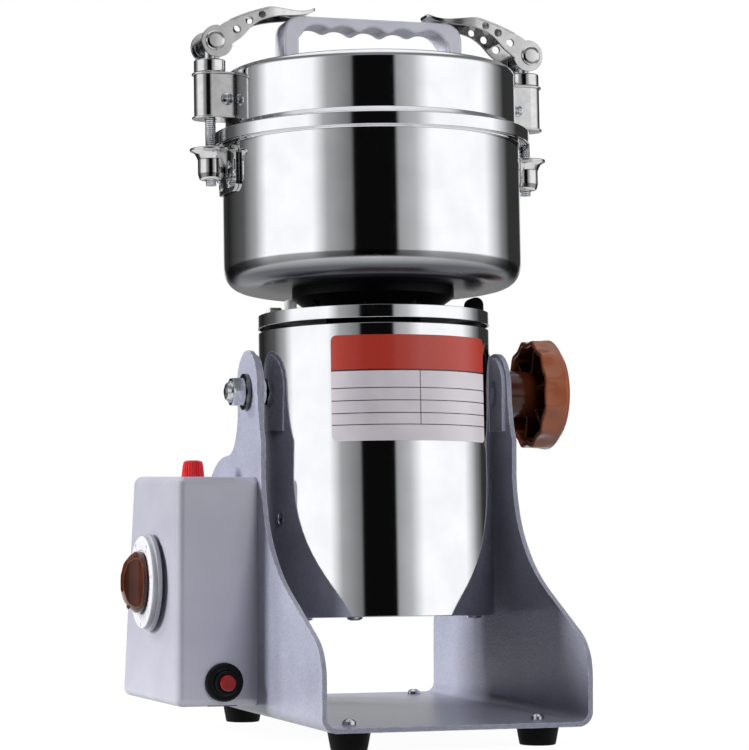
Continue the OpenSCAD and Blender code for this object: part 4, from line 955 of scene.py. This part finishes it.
# Handle
# A grip cast in aluminium, with waves under the bar for the fingers and all its edges well
# rounded, held by two screws from inside the lid.
half_length, half_width, leg, top = 60.0, 10.5, 10.0, 238.2
wave_radius, wave_top, wave_apart = 12.5, 232.7, 20

# Light grey-blue coat over sand-cast aluminium: the sand's grain shows through, and the
# edges are worn a little darker.
handle_coat = mottled(
    "grey_blue_coat", "#d2d2df", "#dadae6", (24.0, 3.0, 0.5), (0.7, 4.0, 0.65), (0.36, 0.5), 0.04,
    0.6, specks=((0.55, 0.75, 0.35, "#c2c3cf"),), worn=(0.8, 0.97, "#c4c5cf"),
    more={"Metallic": 0.3})


def under_bar(x):
    """Height of the bar's underside: five hollows for the fingers meet in rounded ridges."""
    end = half_length - leg - wave_radius
    nearest = min(abs(x - middle) for middle in (-end, -wave_apart, 0, wave_apart, end))
    return wave_top - wave_radius + math.sqrt(wave_radius ** 2 - nearest ** 2)


soft_waves = [(x, sum(under_bar(x + step) for step in (-2.4, -1.2, 0, 1.2, 2.4)) / 5, 0)
              for x in [46.5 - 1.5 * i for i in range(63)]]
inner_leg = half_length - leg
outline = [(-half_length, 200, 0), (-half_length, top, 13), (half_length, top, 13),
           (half_length, 200, 0), (inner_leg, 200, 0), (inner_leg, 224, 4), *soft_waves,
           (-inner_leg, 224, 4), (-inner_leg, 200, 0)]
grip = bmesh.new()
grip.faces.new([grip.verts.new((x, -half_width, z)) for x, z in rounded(outline, 1.0, 8)])
bmesh.ops.translate(grip, vec=(0, 2 * half_width, 0), verts=drawn_out(grip, grip.faces[:]))
bmesh.ops.recalc_face_normals(grip, faces=grip.faces)
rim = [e for e in grip.edges if e.calc_face_angle(0) > 1
       and abs(e.verts[0].co.y - e.verts[1].co.y) < 0.1 and max(v.co.z for v in e.verts) > 200.1]
bmesh.ops.bevel(grip, geom=rim, offset=1.7, segments=4, profile=0.5, affect="EDGES",
                clamp_overlap=False, material=-1)
# The legs' feet are ground to the dome
for v in grip.verts:
    if v.co.z < 201:
        v.co.z = dome_height(math.hypot(v.co.x, v.co.y)) + 0.06
finish_piece("grip_casting", grip, "lid", handle_coat, "lid_handle", tilt, smooth=50)

# Star knob
# A clamp knob of the timer knob's phenolic: twelve hollows round its edge, a rounded face,
# and an open back with a hub and six ribs.
points_round, hollow = 12, 2.2
star_radius, knob_near, knob_far = 35.5, 103.5, 124.0
star_profile = rounded([
    (0, knob_far, 0), (16, knob_far - 0.4, 6), (30.5, knob_far - 2.4, 4),
    (star_radius, knob_far - 6.5, 3.5),
    *[(star_radius, knob_far - 7.5 - 1.5 * i, 0) for i in range(8)],
    (star_radius, knob_near, 1.2), (star_radius - 3.4, knob_near, 1.2),
    (star_radius - 6.2, knob_far - 5.6, 1.5), (15, knob_far - 5.0, 2.5), (15, 87.2, 0.6),
    (8.1, 87.2, 0.2), (8.1, 107.4, 0), (0, 107.4, 0)], 0.8, 5)


def star_hollow(out, turn, z):
    """Depth of the hollows round the rim, which run out towards the knob's face."""
    if out <= star_radius - 9:
        return 0
    phase = (math.degrees(turn) / (360 / points_round) + 0.5) % 1 - 0.5
    fade = min(1, (out - star_radius + 9) / 2) * max(0, min(1, (knob_far - 7 - z) / 9))
    return hollow * (0.5 + 0.5 * math.cos(2 * math.pi * phase)) ** 0.75 * fade


star = dented(turned(star_profile, points_round * 16, loop=False), star_hollow)
for i in range(6):
    block(star, (14.6, 2.2, 13),
          about("Z", 60 * i + 15) @ at(21.4, 0, (knob_near + knob_far) / 2 - 1.6))
to_right = about("Y", 90)
finish_piece("star_moulding", star, "star", brown_phenolic, "star_knob",
             on_axis @ to_right, smooth=35)

# Latch lugs
# Cast zinc lugs, nickel plated and polished, one on each side of the lid. Each is D-shaped
# with a thin brim at the top and the bottom, has a bore for the rod, and a screw across it.
rod_x, lug_low, lug_high, pin_z = 106.0, 171.2, 200.2, 219.0
both_sides = {"left": Matrix.Diagonal((-1, 1, 1, 1)), "right": Matrix.Diagonal((1, 1, 1, 1))}
sides = list(both_sides.values())

# Polished nickel plating: a slightly warm mirror, finely wiped, over the casting's ripples
nickel = mottled("polished_nickel", "#d0d0cf", "#c2c2c3", (5.0, 3.0, 0.5), (0.6, 4.0, 0.65),
                 (0.08, 0.15), 0.002, 0.4, under=(3.2, 1.0, 0.5, 0.02, 0.3), more={"Metallic": 1.0})


def slab(outline, low, high, holes=()):
    """A flat outline given thickness from low to high, with round holes (x, y, radius)."""
    bm = bmesh.new()
    loops = [outline] + [[(x + r * math.cos(math.pi * k / 16), y + r * math.sin(math.pi * k / 16))
                          for k in range(32)] for x, y, r in holes]
    edges = []
    for loop in loops:
        corners = [bm.verts.new((x, y, low)) for x, y in loop]
        edges += [bm.edges.new(pair) for pair in zip(corners, corners[1:] + corners[:1])]
    bmesh.ops.triangle_fill(bm, edges=edges, use_beauty=True, use_dissolve=False)
    bmesh.ops.translate(bm, vec=(0, 0, high - low), verts=drawn_out(bm, bm.faces[:]))
    bmesh.ops.recalc_face_normals(bm, faces=bm.faces)
    return bm


def lug_outline(half, wall):
    """A D seen from above: round outwards, hollow where it lies against the lid."""
    edge = math.degrees(math.asin(half / wall))
    on_lid = [(wall * math.cos(math.radians(a)), wall * math.sin(math.radians(a)))
              for a in [edge - edge * k / 4 for k in range(9)]]
    out = [(rod_x + 1 + half * math.cos(math.radians(a)), half * math.sin(math.radians(a)))
           for a in range(-90, 91, 7)]
    return on_lid + out


def lug():
    """One lug, for the right side."""
    wall, bore = lid_radius + 0.1, [(rod_x, 0, 3.8)]
    body = soften(slab(lug_outline(9.2, wall), lug_low + 0.6, lug_high - 0.6, bore), 0.3, 60)
    brims = [soften(slab(lug_outline(10.5, wall), z, z + 1.3, bore), 0.4, 60, 3)
             for z in (lug_low, lug_high - 1.3)]
    return joined([body] + brims)


finish_piece("lug_castings", joined([(lug(), side) for side in sides]), "lid", nickel,
             "latch_lugs", tilt, 45)
collars = joined([(ring(3.8, 10, lug_high, 208.6, 0.9, 5, 64), side @ at(rod_x, 0, 0))
                  for side in sides])
finish_piece("lug_collars", collars, "lid", nickel, "latch_collars", tilt)

# The handle's two screws from below, and each lug's screw with a cross head at both ends
lid_screws = [(cross_head(4.8, 2.8, 18, 2.5), at(x, 0, 199.6) @ about("X", 180))
              for x in (leg / 2 - half_length, half_length - leg / 2)]
lid_screws += [(cross_head(4.0, 2.0, 9.2, 2),
                side @ at(lid_radius + 4.5, end * 9.25, 183.2) @ about("X", -end * 90))
               for side in sides for end in (-1, 1)]
finish_piece("lid_screw_heads", joined(lid_screws), "lid", zinc, "lid_screws", tilt)

# Keepers
# A trumpet-shaped socket pressed into a curved plate, nickel plated, which six screws hold
# on the bowl. The rod's foot rests in it.
keeper_high, socket_low = 152.7, 132.7
socket_profile = rounded([
    (3.9, socket_low, 0.3), (7.2, socket_low, 2.0), (8.2, socket_low + 4, 2), (8.2, 145.5, 3),
    (10.2, 149.6, 3), (13.2, 151.0, 0.5), (13.2, keeper_high, 0.7), (9.0, 151.6, 1.0),
    (5.2, 149.0, 1.0), (3.9, 147.0, 0.5)], 0.5, 6)
bridge_outline = rounded([
    (96.2, 151.6, 0.2), (104, 151.6, 0.2), (102, 147.5, 3), (98.6, 141, 3), (97.2, 133, 0.3),
    (96.2, 133, 0.2)], 0.4, 5)
screw_spots = [(9.8, 17), (4.8, 11), (4.8, 23), (-9.8, 17), (-4.8, 11), (-4.8, 23)]


def keeper():
    """One keeper, for the right side."""
    plate = soften(curved_sheet(97.4, 2.2, 0.0, 19.4, 124.4, 154.0, 6.0), 0.4, 50)
    bridge = soften(slab(bridge_outline, -8.8, 8.8), 0.5, 50)
    return joined([(turned(socket_profile, 64), at(rod_x, 0, 0)), plate, (bridge, about("X", 90))])


finish_piece("keeper_brackets", joined([(keeper(), side) for side in sides]), "motor",
             nickel, "keepers", tilt, 45)
# Each screw's cross points another way
keeper_screws = joined([
    (cross_head(2.6, 1.2, 2, 1.4), side @ about("Z", turn) @ at(97.42, 0, keeper_high - down)
     @ about("Y", 90) @ Matrix.Rotation(turn + down, 4, "Z"))
    for side in sides for turn, down in screw_spots])
finish_piece("keeper_screw_heads", keeper_screws, "motor", zinc, "keeper_screws", tilt)

# Latch rods
# Zinc-plated rods with a rolled thread, which sets how tight the latch closes, and an eye
# forged on the top for the pin.


def threaded(radius, depth, pitch, low, high, plain=1e9):
    """A rod with a helical thread, which runs out where the plain shank begins."""
    bm = bmesh.new()
    around, rings = 24, []
    count = round((high - low) / (pitch / 6))
    for j in range(count + 1):
        z = low + (high - low) * j / count
        fade = max(0.0, min(1.0, (plain - z) / pitch)) * (1 if low < z < high else 0)
        chamfer = depth * 0.8 if z in (low, high) else 0
        rings.append([])
        for k in range(around):
            phase = (z / pitch - k / around) % 1
            r = radius - depth * abs(2 * phase - 1) * fade - chamfer
            turn = 2 * math.pi * k / around
            rings[-1].append(bm.verts.new((r * math.cos(turn), r * math.sin(turn), z)))
    for one, two in zip(rings, rings[1:]):
        for k in range(around):
            bm.faces.new((one[k], one[k - 1], two[k - 1], two[k])).normal_flip()
    bm.faces.new(rings[0])
    bm.faces.new(rings[-1])
    bmesh.ops.recalc_face_normals(bm, faces=bm.faces)
    return bm


for word, side in both_sides.items():
    rod = joined([
        (threaded(3.5, 0.45, 1.25, 129.3, 214.0, plain=206.0), side @ at(rod_x, 0, 0)),
        (ring(3.1, 6, -10.6, 10.6, 0.7, 4, 48), side @ at(rod_x, 0, pin_z) @ about("X", 90))])
    finish_piece(word + "_threaded_rod", rod, word + "_rod", zinc, "rod_" + word, tilt, 50)

# Latch pins
# Polished pins through the levers and the eyes, with a flat round head on each side. They
# are nickel plated.
pin_head = [(0, 15.5, 0), (4.2, 15.3, 2), (5.6, 14.9, 0.6), (6.2, 14.3, 0.3), (6.2, 13.7, 0.2),
            (3, 13.7, 0)]
pin_profile = rounded(pin_head + [(r, -z, own) for r, z, own in reversed(pin_head)], 0.3, 4)
for word, side in both_sides.items():
    pin = joined([(turned(pin_profile, 48, loop=False),
                   side @ at(rod_x, 0, pin_z) @ about("X", 90))])
    finish_piece(word + "_pin", pin, word + "_rod", nickel, "pin_" + word, tilt)

# Latch levers
# Each lever is pressed from sheet into a channel: two walls with a round cam and three holes,
# and a back between them that runs out into a spoon-like tip for the fingers.
lever_half, lever_sheet, cam_x, cam_radius = 13.5, 1.9, 1.6, 10.2
lever_back = [(3, 9.6), (10, 14.2), (20, 18.6), (30, 22), (37, 23.6), (46, 23), (56, 22.4),
              (63, 23.4), (68, 25.6)]
lever_under = [(68.6, 24.2), (62, 20.6), (52, 18.9), (42, 17.8), (32, 15.2), (24.5, 10.4),
               (18, 3.6), (11, -1.5)]
lever_holes = [(0, 0, 3.1), (14, 7.8, 2.5), (22.3, 14, 2.4), (30.8, 18.2, 2.2)]


def smooth_curve(points, steps=5):
    """A smooth curve through the points."""
    last, out = len(points) - 1, []
    for i in range(last):
        a, b, c, d = (Vector(points[max(0, min(k, last))]) for k in (i - 1, i, i + 1, i + 2))
        for k in range(steps):
            t = k / steps
            out.append(tuple(0.5 * (2 * b + (c - a) * t + (2 * a - 5 * b + 4 * c - d) * t ** 2
                                    + (3 * b - a - 3 * c + d) * t ** 3)))
    return out + [tuple(points[-1])]


def lever():
    """One lever, lying on its side: x runs inwards from the pin and y up."""
    back, under = smooth_curve(lever_back), smooth_curve(lever_under)
    cam = [(cam_x + cam_radius * math.cos(math.radians(a)), cam_radius * math.sin(math.radians(a)))
           for a in range(-14, -274, -8)]
    edge = [(x, z - 0.7 * min(1, max(0, (x - 6) / 6))) for x, z in back]
    walls = [soften(slab(edge + under + cam, low, low + lever_sheet, lever_holes), 0.45, 50, 3)
             for low in (-lever_half, lever_half - lever_sheet)]
    over = [p for p in back if p[0] > 8.5]
    inside = [(x + 0.4, z - lever_sheet) for x, z in reversed(over)]
    whole = joined(walls + [soften(slab(over + inside, -lever_half, lever_half), 0.7, 50, 4)])
    for v in whole.verts:
        narrow = max(0.0, min(1.0, (v.co.x - 36) / 26))
        waist = 1 - 0.24 * narrow * narrow * (3 - 2 * narrow)
        into_tip = max(0.0, min(1.0, (v.co.x - 56) / 13))
        v.co.z *= waist * (1 - 0.6 * (1 - math.sqrt(1 - into_tip ** 2)))
    return whole


lying = at(rod_x, 0, pin_z) @ Matrix.Diagonal((-1, 1, 1, 1)) @ about("X", 90)
for word, side in both_sides.items():
    finish_piece(word + "_latch_lever", joined([(lever(), side @ lying)]), word + "_lever",
                 nickel, "lever_" + word, tilt, 50)

# Pivot
# Two M10 bolts stand out of the housing through the stand, each locked by a nut inside. The
# left one carries a washer and a nut, the right one a wide washer and the star knob.


def hex_body(across, low, high):
    """A hexagon with the corners of both its faces chamfered."""
    corner, flat = across / math.sqrt(3), across * 0.485
    prism = bmesh.new()
    round_bar(prism, corner, high - low, 6, at(0, 0, (low + high) / 2))
    drop = (corner + 0.2 - flat) * 0.55
    cone = turned([(0, low), (flat, low), (corner + 0.2, low + drop), (corner + 0.2, high - drop),
                   (flat, high), (0, high)], 64, loop=False)
    done = cut(prism, cone, "INTERSECT")
    bmesh.ops.remove_doubles(done, verts=done.verts, dist=0.005)
    return soften(done, 0.2, 25, 1)


outwards = [side @ to_right for side in sides]
bolts = joined([(threaded(4.95, 0.5, 1.5, 71.9, reach), side)
                for side, reach in zip(outwards, (98.0, 116.0))]
               + [(hex_body(17, 65.9, 71.9), side) for side in outwards])
finish_piece("pivot_studs", bolts, "motor", zinc, "pivot_bolts", on_axis, 40)
nut_dome = turned(rounded([
    (0, 99.0, 0), (2.4, 98.9, 1), (5.2, 97.9, 2), (6.8, 95.9, 2), (6.9, 94.9, 0), (0, 94.9, 0)],
    0.3, 5), 64, loop=False)
nuts = joined([(hex_body(17, 73.7, 78.8), side) for side in outwards]
              + [(hex_body(17, 87.15, 95.05), outwards[0]), (nut_dome, outwards[0])])
finish_piece("pivot_lock_nuts", nuts, "motor", zinc, "pivot_nuts", on_axis, 40)
for name, outer_radius, side, body, finish, node in (
        ("plain_washer", 11.5, outwards[0], "motor", dark_zinc, "pivot_washer"),
        ("wide_washer", 16, outwards[1], "clamp", zinc, "clamp_washer")):
    washer = joined([(ring(5.2, outer_radius, 84.65, 87, 0.5, 3, 64), side)])
    finish_piece(name, washer, body, finish, node, on_axis)

# Cord inlet
# A nylon gland screwed into the box's back. The photograph shows no cord, so its hole is
# left open.
gland = dented(turned(rounded([
    (3.9, -9), (7.4, -9), (7.4, 5.2, 0), (8.5, 5.2, 0.3), (8.5, 9.4, 0.6), (7.6, 11.2, 0.8),
    (5.6, 13), (3.9, 13)], 0.4, 4), 96),
    lambda out, turn, z: 0.3 * (0.5 + 0.5 * math.cos(16 * turn))
    if out > 7.9 and 5.6 < z < 10.5 else 0)
nut_bore = slab([(7.3 * math.cos(math.pi * k / 24), 7.3 * math.sin(math.pi * k / 24))
                 for k in range(48)], -1, 7)
finish_piece("gland_moulding", joined([gland, cut(hex_body(20, 0.05, 5.0), nut_bore)]), "stand",
             black_nylon, "cord_gland",
             on_ground @ at(gland_x, box_far, gland_z) @ about("X", -90), 45)

# Blades
# Two hardened steel blades crossed on the shaft, with turned spacers and a nut over them.
# Ground blade steel: a grey metal with fine lines across, and faint stains.
ground_steel = new_finish("ground_blade_steel")
tree, place = ground_steel.tree, ground_steel.place
grind = add(tree, "TexNoise", {
    "Vector": add(tree, "VectorMath", (place, (0.4, 6.0, 0.4)), operation="MULTIPLY"),
    "Scale": 1.0, "Detail": 3.0})
stain = add(tree, "TexNoise", {"Vector": place, "Scale": 1 / 14.0, "Detail": 3.0})
fill(ground_steel.shader, {
    "Base Color": coats(tree, "#c2c3c6", (stain, 0.35, 0.7, 1.0, "#a9a8a6")), "Metallic": 1.0,
    "Roughness": add(tree, "MapRange", (grind, 0.3, 0.7, 0.18, 0.32)),
    "Normal": relief(tree, (grind, 0.01, 0.5))})
for node, name, width in (("blades", "ground_blades", 0.5), ("blade_spacers", "turned_spacers", 0.3),
                          ("blade_nut", "clamping_nut", 0.3)):
    finish_piece(name, soften(cad_copy(node), width * MM), "rotor", ground_steel, node)

# Seals
# Under the lid a steel plate rests on a ring of silicone, which seals the bowl.
# White silicone: soft, a little see-through at its edges, with a dusty bloom.
silicone = mottled("white_silicone", "#e0ded6", "#d4d1c6", (10.0, 2.0, 0.5), (0.6, 3.0, 0.5),
                   (0.45, 0.6), 0.01, 0.4,
                   more={"Subsurface Weight": 0.2, "Subsurface Scale": 1.5 * MM})
finish_piece("silicone_ring", ring(92.1, 99.1, 158.05, 160.45, 0.7, 4, 192), "lid",
             silicone, "lid_gasket", tilt)
liner_profile = rounded([(0, 160.55, 0), (100.1, 160.55), (100.1, 161.65), (0, 161.65, 0)], 0.4, 3)
finish_piece("liner_plate", turned(liner_profile, 192, loop=False), "lid", steel,
             "lid_liner", tilt)

# Inside the motor and the box
# What the housing, the box and the knobs hide keeps the model's own solids, each in the
# finish of the real piece.


def plain_finish(name, one, two, size, rough, metallic=0.0, depth=0.02):
    """A mottled finish whose grain is an eighth of its blotches."""
    return mottled(name, one, two, (size, 3.0, 0.5), (size / 8, 3.0, 0.5), (rough, rough + 0.14),
                   depth, more={"Metallic": metallic})


# Sand-cast aluminium: dull, light and grainy. Varnished laminations: dark and half glossy.
cast_aluminium = plain_finish("sand_cast_aluminium", "#a9abae", "#96989c", 6.0, 0.42, 1.0, 0.08)
lamination = plain_finish("varnished_laminations", "#4b4a4c", "#5c5652", 4.0, 0.4, 0.8)
# Enamelled copper wire and commutator bars: a warm glossy metal. Carbon: a soft near black.
copper = plain_finish("enamelled_copper", "#a8582c", "#8c4522", 3.0, 0.25, 1.0)
carbon = plain_finish("moulded_carbon", "#29282a", "#353335", 2.0, 0.5)
# Turned brass: yellow and bright. Blued steel: a dark sheen. Polyamide: a plain cream.
brass = plain_finish("turned_brass", "#c3a25c", "#b08f4a", 3.0, 0.22, 1.0)
dark_case = plain_finish("blued_steel_case", "#3d4046", "#4b4e54", 7.0, 0.34, 0.8)
cream_plastic = plain_finish("cream_polyamide", "#d9d5c4", "#ccc8b6", 6.0, 0.38)
for node, finish in {
        "lower_bell": cast_aluminium, "upper_bell": cast_aluminium, "stator_core": lamination,
        "armature_core": lamination, "field_coils": copper, "commutator": copper,
        "brush_gear": carbon, "bearings": zinc, "rotor_shaft": ground_steel,
        "cooling_fan": black_nylon, "shaft_seal": silicone, "knob_insert": brass,
        "timer_body": dark_case, "terminal_block": cream_plastic, "lamp_holder": black_nylon}.items():
    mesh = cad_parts[node].data
    mesh.materials.clear()
    mesh.materials.append(finish.material)
